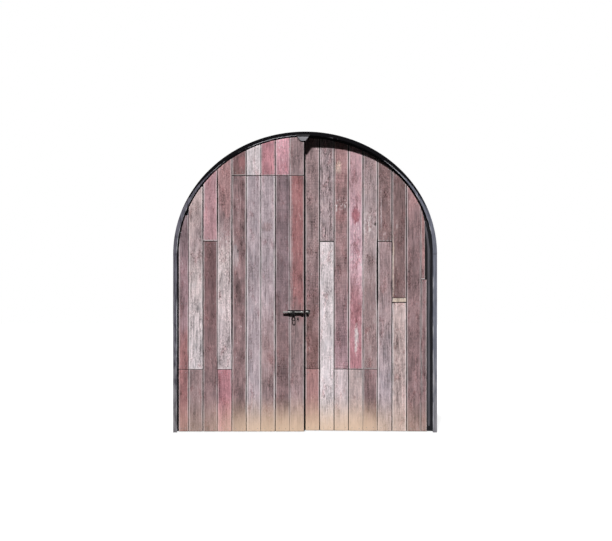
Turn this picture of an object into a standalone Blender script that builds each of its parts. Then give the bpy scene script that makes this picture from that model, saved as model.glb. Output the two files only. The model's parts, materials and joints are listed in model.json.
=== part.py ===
"""Arched double door: reclaimed boards on two steel-rimmed leaves, hung in a welded steel frame.

Units are metres, +Z is up and the front faces -Y. The origin lies on the floor, on the centre
line, in the plane of the frame's front face. Everything is drawn with both leaves shut. Each leaf
then hangs on an empty on its hinge axis, and the right one is swung a little way inward.
"""

import math
from typing import NamedTuple

import bmesh
import bpy
from mathutils import Vector

# Welded frame: a flat face with the leaves' stop behind it, on a deep liner against the wall
SPRING_HEIGHT = 1.785
ARCH_RISE = 1.225
FACE_WIDTH = 0.040
LINER_THICKNESS = 0.006
LINER_LIP = 0.002

# Plate at the crown that stops both leaves
HEAD_PLATE_TOP_WIDTH = 0.144
HEAD_PLATE_FOOT_WIDTH = 0.046
HEAD_PLATE_DROP = 0.055
HEAD_PLATE_LAP = 0.007
HEAD_PLATE_THICKNESS = 0.005
HEAD_PLATE_OFFSET = -0.022

# Leaves: a welded steel rim round a plywood core
LEAF_CLEARANCE = 0.008
FLOOR_CLEARANCE = 0.010
MEETING_GAP = 0.003
RIM_WIDTH = 0.050
RIM_DEPTH = 0.040
STOP_CLEARANCE = 0.0013
RIGHT_LEAF_AJAR = math.radians(3.0)

# Boards on the leaves' fronts
FULL_BOARDS = 8
BOARD_WIDTH = 0.140
EDGE_STRIP_WIDTH = 0.0975
BOARD_THICKNESS = 0.022
BOARD_GAP = 0.0045
BUTT_GAP = 0.002
BOARD_FACE_SETBACK = 0.001
BOARD_EDGE_GAP = 0.015
MEETING_EDGE_BARE = 0.010
RIGHT_STILE_BARE = 0.046

# Heights of the butt joints between boards
LOW_ROW = 0.630
MIDDLE_ROW_ABOVE_SPRING = 0.130
HIGH_ROW_BELOW_CROWN = 0.440
FILLER_FOOT = 1.302
FILLER_HEIGHT = 0.043
STRIP_JOINT = 1.530

# Boards whose stock was too short for the corner under the arch, and one strip that is wider
SHORT_CORNER = 0.015
SHORTER_CORNER = 0.065
STRIP_OVERHANG = 0.010

# Weld-on barrel hinges
BARREL_RADIUS = 0.011
BARREL_LENGTH = 0.060
PIN_RADIUS = 0.006
PIN_LENGTH = 0.050
PIN_CLEARANCE = 0.0003
LOWER_HINGE_HEIGHT = 0.400
UPPER_HINGE_BELOW_SPRING = 0.300

# Padlock bolt across the meeting edges
BOLT_HEIGHT = 1.203
BOLT_THROW = 0.048
ROD_RADIUS = 0.007
ROD_END_SETBACK = 0.0045
ROD_TAIL = 0.004
ROD_CHAMFER = 0.0015
PLATE_HEIGHT = 0.042
PLATE_THICKNESS = 0.003
PLATE_MARGIN = 0.006
GUIDE_LENGTH = 0.024
GUIDE_WALL = 0.003
GUIDE_CLEARANCE = 0.0005
KEEPER_CLEARANCE = 0.001
KEEPER_EDGE_SETBACK = 0.003
KEEPER_TAIL = 0.018

# Hasp that turns on the rod, and the staple that it shuts over
HASP_COLLAR_LENGTH = 0.026
HASP_COLLAR_WALL = 0.002
HASP_COLLAR_CLEARANCE = 0.0004
HASP_COLLAR_MARGIN = 0.013
HASP_PLATE_GAP = 0.0015
HASP_WIDTH = 0.035
HASP_LENGTH = 0.090
HASP_NECK = 0.014
HASP_RAIL = 0.008
HASP_THICKNESS = 0.003
HASP_PASS_GAP = 0.0013
HASP_SHUT_TURN = math.radians(12.0)
STAPLE_WIRE_RADIUS = 0.002
STAPLE_BEND_RADIUS = 0.009
STAPLE_FOOT_GAP = 0.006
STAPLE_PLATE_WIDTH = 0.014
STAPLE_PLATE_MARGIN = 0.003
STAPLE_PLATE_THICKNESS = 0.002

# Clearance between pieces that are welded, screwed or laid against each other
SEAT_GAP = 0.0003

# How finely round shapes are drawn
ARCH_SEGMENTS = 56
LEAF_ARCH_SEGMENTS = 28
BOARD_TOP_SEGMENTS = 5
ROUND_SIDES = 24
BEND_STEPS = 10
WIRE_SIDES = 10

# Sizes and places that follow from those above
CROWN_HEIGHT = SPRING_HEIGHT + ARCH_RISE
MIDDLE_ROW = SPRING_HEIGHT + MIDDLE_ROW_ABOVE_SPRING
HIGH_ROW = CROWN_HEIGHT - HIGH_ROW_BELOW_CROWN
FILLER_TOP = FILLER_FOOT + FILLER_HEIGHT

RIM_INSET = LINER_THICKNESS + LEAF_CLEARANCE
RIM_FRONT = BOARD_FACE_SETBACK + BOARD_THICKNESS + SEAT_GAP
RIM_BACK = RIM_FRONT + RIM_DEPTH
STOP_DEPTH = RIM_FRONT - STOP_CLEARANCE
BOARD_INSET = FACE_WIDTH + BOARD_EDGE_GAP
BOARD_START = MEETING_GAP / 2 + MEETING_EDGE_BARE
BOARD_PITCH = BOARD_WIDTH + BOARD_GAP
LEFT_EDGE = BOARD_START + FULL_BOARDS * BOARD_PITCH + EDGE_STRIP_WIDTH
RIGHT_EDGE = LEFT_EDGE - RIGHT_STILE_BARE
HALF_WIDTH = LEFT_EDGE + BOARD_INSET

HINGE_X = HALF_WIDTH - LINER_THICKNESS - SEAT_GAP - BARREL_RADIUS
HINGE_Y = RIM_BACK + SEAT_GAP + BARREL_RADIUS
HINGE_HEIGHTS = {"lower": LOWER_HINGE_HEIGHT, "upper": SPRING_HEIGHT - UPPER_HINGE_BELOW_SPRING}
FRAME_DEPTH = HINGE_Y + BARREL_RADIUS + LINER_LIP

PLATE_BACK = BOARD_FACE_SETBACK - SEAT_GAP
PLATE_FRONT = PLATE_BACK - PLATE_THICKNESS
HASP_BORE = ROD_RADIUS + HASP_COLLAR_CLEARANCE
HASP_COLLAR_RADIUS = HASP_BORE + HASP_COLLAR_WALL
ROD_Y = PLATE_FRONT - HASP_PLATE_GAP - HASP_COLLAR_RADIUS
ROD_END = -(BOARD_START + ROD_END_SETBACK)
GUIDE_RUN = HASP_COLLAR_LENGTH + BOLT_THROW + 2 * HASP_COLLAR_MARGIN
FRONT_GUIDE_START = ROD_END - PLATE_MARGIN - GUIDE_LENGTH
REAR_GUIDE_START = FRONT_GUIDE_START - GUIDE_RUN - GUIDE_LENGTH
ROD_START = REAR_GUIDE_START - BOLT_THROW - ROD_TAIL
HASP_START = REAR_GUIDE_START + GUIDE_LENGTH + HASP_COLLAR_MARGIN
HASP_X = HASP_START + HASP_COLLAR_LENGTH / 2
HASP_FRONT = ROD_Y - HASP_COLLAR_RADIUS
HASP_BACK = HASP_FRONT + HASP_THICKNESS
HASP_OFFSET = HASP_COLLAR_RADIUS - HASP_THICKNESS / 2
STAPLE_X = HASP_X + BOLT_THROW
STAPLE_HALF_HEIGHT = STAPLE_BEND_RADIUS + STAPLE_WIRE_RADIUS
STAPLE_REACH = HASP_LENGTH - HASP_RAIL - STAPLE_FOOT_GAP - STAPLE_HALF_HEIGHT
STAPLE_DROP = STAPLE_REACH * math.cos(HASP_SHUT_TURN) + HASP_OFFSET * math.sin(HASP_SHUT_TURN)
STAPLE_Z = BOLT_HEIGHT - STAPLE_DROP
STAPLE_PROUD = BOARD_FACE_SETBACK - HASP_BACK - HASP_PASS_GAP
STAPLE_PLATE_FRONT = PLATE_BACK - STAPLE_PLATE_THICKNESS


class Piece(NamedTuple):
    """One length of board in a column.

    Attributes:
        tone: name of its colour in BOARD_TONES.
        top: height of its upper end, or None where the arch cuts it.
        corner_short: how far its top falls short of the arch at the inner corner.
        overhang: how far it reaches past the leaf's last board edge.
    """

    tone: str
    top: float | None = None
    corner_short: float = 0.0
    overhang: float = 0.0


# Columns run outward from the meeting edges, and each lists its pieces from the floor up
LEFT_COLUMNS = (
    (Piece("red_brown", HIGH_ROW), Piece("grey_brown")),
    (Piece("slate_mauve", HIGH_ROW), Piece("pale_pink")),
    (Piece("grey_pink", HIGH_ROW), Piece("rose")),
    (Piece("lilac_grey", HIGH_ROW), Piece("whitewash")),
    (Piece("brown", HIGH_ROW), Piece("dark_brown")),
    (Piece("rose", LOW_ROW), Piece("pale_grey")),
    (Piece("dark_brown", MIDDLE_ROW), Piece("rose")),
    (Piece("grey_pink", LOW_ROW), Piece("pale_grey", corner_short=SHORT_CORNER)),
    (Piece("red_brown", LOW_ROW), Piece("slate_mauve", corner_short=SHORTER_CORNER)),
)
RIGHT_COLUMNS = (
    (Piece("red_brown", LOW_ROW), Piece("grey_brown")),
    (Piece("whitewash", MIDDLE_ROW), Piece("lilac_grey")),
    (Piece("whitewash", LOW_ROW), Piece("mauve_brown")),
    (Piece("lilac_grey", LOW_ROW), Piece("pale_pink")),
    (Piece("brown", LOW_ROW), Piece("grey_brown")),
    (Piece("lilac_grey", MIDDLE_ROW), Piece("mauve_brown")),
    (Piece("pale_grey", FILLER_FOOT), Piece("bare_tan", FILLER_TOP), Piece("brown")),
    (Piece("mauve_brown"),),
    (Piece("mauve_brown", STRIP_JOINT, overhang=STRIP_OVERHANG), Piece("red_brown")),
)
PLAIN_COLUMN = (Piece("mauve_brown"),)
PIECE_SUFFIXES = {1: ("",), 2: ("_lower", "_upper"), 3: ("_lower", "_filler", "_upper")}

BOARD_TONES = {
    "whitewash": (0.63, 0.56, 0.57),
    "pale_grey": (0.47, 0.38, 0.39),
    "lilac_grey": (0.40, 0.31, 0.34),
    "grey_pink": (0.38, 0.28, 0.29),
    "grey_brown": (0.33, 0.23, 0.23),
    "pale_pink": (0.52, 0.30, 0.34),
    "rose": (0.45, 0.23, 0.26),
    "red_brown": (0.36, 0.19, 0.19),
    "mauve_brown": (0.29, 0.18, 0.19),
    "slate_mauve": (0.25, 0.17, 0.19),
    "brown": (0.26, 0.16, 0.17),
    "dark_brown": (0.21, 0.12, 0.13),
    "bare_tan": (0.54, 0.43, 0.34),
}


def make_finish(name, colour, roughness, metallic):
    """Returns a plain Principled material."""
    finish = bpy.data.materials.new(name)
    finish.use_nodes = True
    shader = finish.node_tree.nodes["Principled BSDF"]
    shader.inputs["Base Color"].default_value = (*colour, 1.0)
    shader.inputs["Roughness"].default_value = roughness
    shader.inputs["Metallic"].default_value = metallic
    return finish


def loft(loops, closed=False):
    """Skins loops of points that all have the same count.

    Args:
        loops: lists of points, in order along the shape.
        closed: joins the last loop to the first. Otherwise the two end loops are capped.

    Returns:
        A new bmesh that holds the closed skin.
    """
    bm = bmesh.new()
    rings = [[bm.verts.new(point) for point in loop] for loop in loops]
    pairs = list(zip(rings, rings[1:]))
    if closed:
        pairs.append((rings[-1], rings[0]))
    for ring, following in pairs:
        for i in range(len(ring)):
            j = (i + 1) % len(ring)
            bm.faces.new((ring[i], ring[j], following[j], following[i]))
    if not closed:
        bm.faces.new(rings[0])
        bm.faces.new(reversed(rings[-1]))
    return bm


def add_solid(name, bm, finish, pivot=None, origin=None, smooth=False):
    """Makes a named object from a shape that is drawn in door coordinates.

    Args:
        name: the object's name.
        bm: the closed shape. It is freed here.
        finish: the object's material.
        pivot: the empty that carries the object, if it moves.
        origin: where the object's own origin goes. The default is the pivot, or the door's origin.
        smooth: shades round walls smooth.

    Returns:
        The new object.
    """
    carrier = pivot.location if pivot else Vector()
    place = Vector(origin) if origin else carrier.copy()
    bmesh.ops.recalc_face_normals(bm, faces=bm.faces[:])
    bmesh.ops.translate(bm, verts=bm.verts[:], vec=-place)
    mesh = bpy.data.meshes.new(name)
    bm.to_mesh(mesh)
    bm.free()
    mesh.materials.append(finish)
    if smooth:
        mesh.shade_smooth()
        mesh.set_sharp_from_angle(angle=math.radians(40.0))
    obj = bpy.data.objects.new(name, mesh)
    bpy.context.scene.collection.objects.link(obj)
    obj.parent = pivot
    obj.location = place - carrier
    return obj


def add_pivot(name, location, turn=0.0):
    """Returns an empty at a joint, turned about the vertical."""
    pivot = bpy.data.objects.new(name, None)
    pivot.location = location
    pivot.rotation_euler = (0.0, 0.0, turn)
    bpy.context.scene.collection.objects.link(pivot)
    return pivot


def combine(target, other, operation):
    """Joins a helper shape to an object, or cuts it out, and hides the helper."""
    other.hide_render = True
    other.display_type = "WIRE"
    boolean = target.modifiers.new(other.name, "BOOLEAN")
    boolean.operation = operation
    boolean.solver = "EXACT"
    boolean.object = other


def arch_point(inset, angle):
    """Point of the arch, moved in from the frame's outer edge, at an angle from the right spring."""
    across = (HALF_WIDTH - inset) * math.cos(angle)
    up = SPRING_HEIGHT + (ARCH_RISE - inset) * math.sin(angle)
    return across, up


def arch_angle(inset, across):
    """Angle at which the inset arch lies a given distance from the centre line."""
    return math.acos(min(1.0, across / (HALF_WIDTH - inset)))


def upright(outline, side, depth):
    """Points of a front outline, on one side of the centre line, at a depth behind the face."""
    return [(side * across, depth, up) for across, up in outline]


def slab(outline, side, front, back):
    """Front outline extruded from front to back."""
    return loft([upright(outline, side, front), upright(outline, side, back)])


def circle(centre, radius, axis, sides=ROUND_SIDES):
    """Loop of points round a centre, square to the X, Y or Z axis."""
    first, second = {"X": (1, 2), "Y": (2, 0), "Z": (0, 1)}[axis]
    loop = []
    for i in range(sides):
        angle = 2 * math.pi * i / sides
        point = list(centre)
        point[first] += radius * math.cos(angle)
        point[second] += radius * math.sin(angle)
        loop.append(point)
    return loop


def frame_section():
    """Outline of the frame's L section, as insets from its outer edge and depths."""
    return (
        (0.0, 0.0),
        (FACE_WIDTH, 0.0),
        (FACE_WIDTH, STOP_DEPTH),
        (LINER_THICKNESS, STOP_DEPTH),
        (LINER_THICKNESS, FRAME_DEPTH),
        (0.0, FRAME_DEPTH),
    )


def add_jamb(name, side, steel):
    """Upright of the frame, from the floor to the spring of the arch."""
    foot = [(side * (HALF_WIDTH - inset), depth, 0.0) for inset, depth in frame_section()]
    head = [(x, y, SPRING_HEIGHT - SEAT_GAP) for x, y, _ in foot]
    add_solid(name, loft([foot, head]), steel)


def add_arch(steel):
    """Bent head of the frame, with the jambs' section."""
    loops = []
    for i in range(ARCH_SEGMENTS + 1):
        angle = math.pi * i / ARCH_SEGMENTS
        loop = []
        for inset, depth in frame_section():
            across, up = arch_point(inset, angle)
            loop.append((across, depth, up))
        loops.append(loop)
    add_solid("frame_arch", loft(loops), steel)


def add_head_plate(steel):
    """Tapered plate on the arch's face, hanging in front of the leaves' tops."""
    lip = CROWN_HEIGHT - FACE_WIDTH
    top, foot = lip + HEAD_PLATE_LAP, lip - HEAD_PLATE_DROP
    outline = (
        (HEAD_PLATE_OFFSET - HEAD_PLATE_FOOT_WIDTH / 2, foot),
        (HEAD_PLATE_OFFSET + HEAD_PLATE_FOOT_WIDTH / 2, foot),
        (HEAD_PLATE_OFFSET + HEAD_PLATE_TOP_WIDTH / 2, top),
        (HEAD_PLATE_OFFSET - HEAD_PLATE_TOP_WIDTH / 2, top),
    )
    back = -SEAT_GAP
    add_solid("head_stop_plate", slab(outline, 1, back - HEAD_PLATE_THICKNESS, back), steel)


def leaf_outline(border):
    """Outline of a leaf, a border inside the edge of its steel, from the hinge foot round."""
    inset = RIM_INSET + border
    meeting = MEETING_GAP / 2 + border
    foot = FLOOR_CLEARANCE + border
    last = arch_angle(inset, meeting)
    outline = [(HALF_WIDTH - inset, foot)]
    for i in range(LEAF_ARCH_SEGMENTS + 1):
        outline.append(arch_point(inset, last * i / LEAF_ARCH_SEGMENTS))
    outline.append((meeting, foot))
    return outline


def add_rim(leaf, side, pivot, steel):
    """Welded steel rim: hinge stile, bent head, meeting stile and bottom rail in one."""
    outer, inner = leaf_outline(0.0), leaf_outline(RIM_WIDTH)
    loops = [
        upright(outer, side, RIM_FRONT),
        upright(outer, side, RIM_BACK),
        upright(inner, side, RIM_BACK),
        upright(inner, side, RIM_FRONT),
    ]
    add_solid(f"{leaf}_leaf_rim", loft(loops, closed=True), steel, pivot)


def add_core(leaf, side, pivot, plywood):
    """Plywood panel that fills the rim and takes the boards' screws."""
    outline = leaf_outline(RIM_WIDTH + SEAT_GAP)
    add_solid(f"{leaf}_leaf_core", slab(outline, side, RIM_FRONT, RIM_BACK), plywood, pivot)


def board_outline(inner, outer, foot, piece):
    """Outline of one board, square-ended or cut to the arch.

    Args:
        inner: distance of its near edge from the centre line.
        outer: distance of its far edge from the centre line.
        foot: height of its lower end.
        piece: what it is and where it ends.

    Returns:
        Points from the inner foot round to the inner top.
    """
    outline = [(inner, foot), (outer, foot)]
    if piece.top is not None:
        return outline + [(outer, piece.top), (inner, piece.top)]
    first = arch_angle(BOARD_INSET, outer)
    last = arch_angle(BOARD_INSET, inner)
    corner = arch_point(BOARD_INSET, last)[1] - piece.corner_short
    if piece.corner_short:
        last = math.asin((corner - SPRING_HEIGHT) / (ARCH_RISE - BOARD_INSET))
    for i in range(BOARD_TOP_SEGMENTS + 1):
        outline.append(arch_point(BOARD_INSET, first + (last - first) * i / BOARD_TOP_SEGMENTS))
    if piece.corner_short:
        outline.append((inner, corner))
    return outline


def add_boards(leaf, side, pivot, columns, edge, finishes):
    """Columns of boards from the meeting edge out to the leaf's edge.

    Args:
        leaf: the leaf's name.
        side: -1 on the left of the centre line, 1 on the right.
        pivot: the leaf's hinge.
        columns: the pieces of each column.
        edge: distance from the centre line at which the last column ends.
        finishes: a material for each tone.
    """
    for number in range(1, FULL_BOARDS + 2):
        inner = BOARD_START + (number - 1) * BOARD_PITCH
        outer = min(inner + BOARD_WIDTH, edge)
        pieces = columns[number - 1] if number <= len(columns) else PLAIN_COLUMN
        foot = FLOOR_CLEARANCE
        for suffix, piece in zip(PIECE_SUFFIXES[len(pieces)], pieces):
            reach = outer + piece.overhang if outer == edge else outer
            outline = board_outline(inner, reach, foot, piece)
            shape = slab(outline, side, BOARD_FACE_SETBACK, BOARD_FACE_SETBACK + BOARD_THICKNESS)
            add_solid(f"{leaf}_board_{number}{suffix}", shape, finishes[piece.tone], pivot)
            foot = piece.top + BUTT_GAP if piece.top is not None else foot


def add_hinge(leaf, side, place, height, pivot, steel):
    """Barrel hinge: a lower half with the pin on the frame, and a socket half on the leaf."""

    def ring(radius, up):
        return circle((side * HINGE_X, HINGE_Y, up), radius, "Z")

    seat = height + SEAT_GAP
    socket = PIN_RADIUS + PIN_CLEARANCE
    frame_half = loft([
        ring(BARREL_RADIUS, height - BARREL_LENGTH),
        ring(BARREL_RADIUS, height),
        ring(PIN_RADIUS, height),
        ring(PIN_RADIUS, height + PIN_LENGTH),
    ])
    leaf_half = loft([
        ring(socket, height + PIN_LENGTH + SEAT_GAP),
        ring(socket, seat),
        ring(BARREL_RADIUS, seat),
        ring(BARREL_RADIUS, seat + BARREL_LENGTH),
    ])
    axis = (side * HINGE_X, HINGE_Y, height)
    add_solid(f"{leaf}_{place}_hinge_pin_half", frame_half, steel, origin=axis, smooth=True)
    add_solid(f"{leaf}_{place}_hinge_socket_half", leaf_half, steel, pivot, axis, smooth=True)


def add_bolt_block(name, start, end, guide_starts, clearance, pivot, steel):
    """Bolt plate with round-nosed guides welded on it, bored for the rod.

    Args:
        name: the object's name.
        start: the plate's left end.
        end: the plate's right end.
        guide_starts: the left end of each guide.
        clearance: the bore's clearance round the rod.
        pivot: the leaf's hinge.
        steel: the material.
    """
    low, high = BOLT_HEIGHT - PLATE_HEIGHT / 2, BOLT_HEIGHT + PLATE_HEIGHT / 2
    plate = ((start, low), (end, low), (end, high), (start, high))
    block = add_solid(name, slab(plate, 1, PLATE_FRONT, PLATE_BACK), steel, pivot)
    bore = ROD_RADIUS + clearance
    nose = bore + GUIDE_WALL
    root = (PLATE_FRONT + PLATE_BACK) / 2
    profile = [(root, BOLT_HEIGHT - nose)]
    for i in range(BEND_STEPS + 1):
        angle = math.pi * i / BEND_STEPS
        profile.append((ROD_Y - nose * math.sin(angle), BOLT_HEIGHT - nose * math.cos(angle)))
    profile.append((root, BOLT_HEIGHT + nose))
    for number, left in enumerate(guide_starts, 1):
        loops = [[(x, y, z) for y, z in profile] for x in (left, left + GUIDE_LENGTH)]
        combine(block, add_solid(f"{name}_guide_{number}", loft(loops), steel, pivot), "UNION")
    ends = [(x, ROD_Y, BOLT_HEIGHT) for x in (start - GUIDE_LENGTH, end + GUIDE_LENGTH)]
    cutter = loft([circle(centre, bore, "X") for centre in ends])
    combine(block, add_solid(f"{name}_bore", cutter, steel, pivot), "DIFFERENCE")


def add_rod(pivot, steel):
    """Round bolt, drawn back, with eased ends."""
    stations = (
        (ROD_START, ROD_RADIUS - ROD_CHAMFER),
        (ROD_START + ROD_CHAMFER, ROD_RADIUS),
        (ROD_END - ROD_CHAMFER, ROD_RADIUS),
        (ROD_END, ROD_RADIUS - ROD_CHAMFER),
    )
    loops = [circle((x, ROD_Y, BOLT_HEIGHT), radius, "X") for x, radius in stations]
    add_solid("bolt_rod", loft(loops), steel, pivot, (ROD_END, ROD_Y, BOLT_HEIGHT), smooth=True)


def stadium(top, foot, radius, depth):
    """Upright slot outline under the rod, between two drops, with round ends."""
    loop = []
    for centre, start in ((BOLT_HEIGHT - top - radius, 0.0), (BOLT_HEIGHT - foot + radius, math.pi)):
        for i in range(BEND_STEPS + 1):
            angle = start + math.pi * i / BEND_STEPS
            loop.append((HASP_X + radius * math.cos(angle), depth, centre + radius * math.sin(angle)))
    return loop


def add_hasp(pivot, steel):
    """Slotted hasp that hangs from a collar on the rod, flush with the collar's front.

    Its loop starts just under the place where its back would cut into the collar's bore.
    """
    near, far = ((x, ROD_Y, BOLT_HEIGHT) for x in (HASP_START, HASP_START + HASP_COLLAR_LENGTH))
    collar = loft([
        circle(near, HASP_COLLAR_RADIUS, "X"),
        circle(far, HASP_COLLAR_RADIUS, "X"),
        circle(far, HASP_BORE, "X"),
        circle(near, HASP_BORE, "X"),
    ], closed=True)
    reach = ROD_Y - HASP_BACK
    top = math.sqrt(max(HASP_BORE**2 - reach**2, 0.0)) + HASP_COLLAR_WALL / 3
    slot_radius = HASP_WIDTH / 2 - HASP_RAIL
    loop = loft([
        stadium(top, HASP_LENGTH, HASP_WIDTH / 2, HASP_FRONT),
        stadium(top, HASP_LENGTH, HASP_WIDTH / 2, HASP_BACK),
        stadium(HASP_NECK, HASP_LENGTH - HASP_RAIL, slot_radius, HASP_BACK),
        stadium(HASP_NECK, HASP_LENGTH - HASP_RAIL, slot_radius, HASP_FRONT),
    ], closed=True)
    axis = (HASP_X, ROD_Y, BOLT_HEIGHT)
    hasp = add_solid("bolt_hasp", collar, steel, pivot, axis)
    combine(hasp, add_solid("bolt_hasp_loop", loop, steel, pivot, axis), "UNION")


def add_staple(pivot, steel):
    """Bent wire staple on a small plate, with its two legs one above the other."""
    left, right = STAPLE_X - STAPLE_PLATE_WIDTH / 2, STAPLE_X + STAPLE_PLATE_WIDTH / 2
    half_height = STAPLE_HALF_HEIGHT + STAPLE_PLATE_MARGIN
    low, high = STAPLE_Z - half_height, STAPLE_Z + half_height
    plate = slab(((left, low), (right, low), (right, high), (left, high)), 1, STAPLE_PLATE_FRONT, PLATE_BACK)
    root = (STAPLE_PLATE_FRONT + PLATE_BACK) / 2
    bend_y = BOARD_FACE_SETBACK - STAPLE_PROUD + STAPLE_WIRE_RADIUS + STAPLE_BEND_RADIUS
    path = [(root, -1.0, 0.0)]
    for i in range(BEND_STEPS + 1):
        angle = math.pi * i / BEND_STEPS
        path.append((bend_y, -math.cos(angle), math.sin(angle)))
    path.append((root, 1.0, 0.0))
    loops = []
    for depth, along, out in path:
        loop = []
        for i in range(WIRE_SIDES):
            angle = 2 * math.pi * i / WIRE_SIDES
            reach = STAPLE_BEND_RADIUS + STAPLE_WIRE_RADIUS * math.cos(angle)
            x = STAPLE_X + STAPLE_WIRE_RADIUS * math.sin(angle)
            loop.append((x, depth - out * reach, STAPLE_Z + along * reach))
        loops.append(loop)
    staple = add_solid("hasp_staple", plate, steel, pivot)
    combine(staple, add_solid("hasp_staple_wire", loft(loops), steel, pivot), "UNION")


def main():
    """Builds the door."""
    for obj in list(bpy.data.objects):
        bpy.data.objects.remove(obj)

    frame_steel = make_finish("frame_steel", (0.030, 0.032, 0.040), 0.45, 0.6)
    plate_steel = make_finish("plate_steel", (0.30, 0.30, 0.31), 0.5, 0.7)
    rim_steel = make_finish("rim_steel", (0.020, 0.020, 0.022), 0.55, 0.5)
    hinge_steel = make_finish("hinge_steel", (0.06, 0.06, 0.065), 0.5, 0.7)
    bolt_steel = make_finish("bolt_steel", (0.22, 0.21, 0.20), 0.4, 0.9)
    hasp_steel = make_finish("hasp_steel", (0.035, 0.033, 0.032), 0.5, 0.8)
    plywood = make_finish("plywood", (0.10, 0.075, 0.06), 0.8, 0.0)
    boards = {tone: make_finish(f"board_{tone}", colour, 0.85, 0.0) for tone, colour in BOARD_TONES.items()}

    add_arch(frame_steel)
    add_head_plate(plate_steel)
    left = add_pivot("left_leaf", (-HINGE_X, HINGE_Y, 0.0))
    right = add_pivot("right_leaf", (HINGE_X, HINGE_Y, 0.0), -RIGHT_LEAF_AJAR)
    leaves = (
        ("left", -1, left, LEFT_COLUMNS, LEFT_EDGE),
        ("right", 1, right, RIGHT_COLUMNS, RIGHT_EDGE),
    )
    for leaf, side, pivot, columns, edge in leaves:
        add_jamb(f"frame_jamb_{leaf}", side, frame_steel)
        add_rim(leaf, side, pivot, rim_steel)
        add_core(leaf, side, pivot, plywood)
        add_boards(leaf, side, pivot, columns, edge, boards)
        for place, height in HINGE_HEIGHTS.items():
            add_hinge(leaf, side, place, height, pivot, hinge_steel)

    plate_start = REAR_GUIDE_START - PLATE_MARGIN
    guides = (REAR_GUIDE_START, FRONT_GUIDE_START)
    add_bolt_block("bolt_plate", plate_start, ROD_END, guides, GUIDE_CLEARANCE, left, bolt_steel)
    add_rod(left, bolt_steel)
    add_hasp(left, hasp_steel)
    add_staple(left, hasp_steel)
    keeper_start = BOARD_START + KEEPER_EDGE_SETBACK
    keeper_end = keeper_start + GUIDE_LENGTH + KEEPER_TAIL
    add_bolt_block("bolt_keeper", keeper_start, keeper_end, (keeper_start,), KEEPER_CLEARANCE, right, bolt_steel)


main()
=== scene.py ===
"""Looks of the arched double door: reclaimed boards, painted steel and a padlock bolt.

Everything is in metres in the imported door's own frame: +X to the right, -Y to the front, +Z up,
with the floor at 0. Pieces of the right leaf are drawn shut and then swung ajar with it.
"""

import json
import logging
import math
from dataclasses import dataclass, field, replace
from enum import Enum
from functools import partial
from typing import Callable, Sequence, Union

import bpy
import numpy as np
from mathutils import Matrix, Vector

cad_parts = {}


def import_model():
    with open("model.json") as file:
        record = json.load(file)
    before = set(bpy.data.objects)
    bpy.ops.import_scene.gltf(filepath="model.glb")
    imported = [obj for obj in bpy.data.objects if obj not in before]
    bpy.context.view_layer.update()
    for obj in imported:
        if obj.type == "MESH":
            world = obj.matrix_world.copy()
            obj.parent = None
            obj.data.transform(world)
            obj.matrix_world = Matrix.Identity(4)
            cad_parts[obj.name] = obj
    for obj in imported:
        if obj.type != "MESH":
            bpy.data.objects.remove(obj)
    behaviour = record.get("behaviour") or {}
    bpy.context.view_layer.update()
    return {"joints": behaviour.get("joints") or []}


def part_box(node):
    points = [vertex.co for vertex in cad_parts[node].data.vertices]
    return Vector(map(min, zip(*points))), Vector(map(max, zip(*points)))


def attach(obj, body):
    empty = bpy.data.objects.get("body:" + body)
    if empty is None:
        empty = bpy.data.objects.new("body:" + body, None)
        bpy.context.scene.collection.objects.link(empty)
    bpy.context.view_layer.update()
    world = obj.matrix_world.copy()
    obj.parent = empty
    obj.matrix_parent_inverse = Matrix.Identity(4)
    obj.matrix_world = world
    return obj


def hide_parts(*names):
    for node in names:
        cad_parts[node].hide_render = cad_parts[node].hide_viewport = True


LOG = logging.getLogger("arched_door")
BOARD_UV = "board"
SECTION_UV = "section"
X, Y, Z = range(3)

Colour = tuple[float, float, float, float]
Triple = tuple[float, float, float]
HeightLine = Callable[[np.ndarray], np.ndarray]
WHITE: Colour = (1.0, 1.0, 1.0, 1.0)
ORIGIN: Triple = (0.0, 0.0, 0.0)


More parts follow.
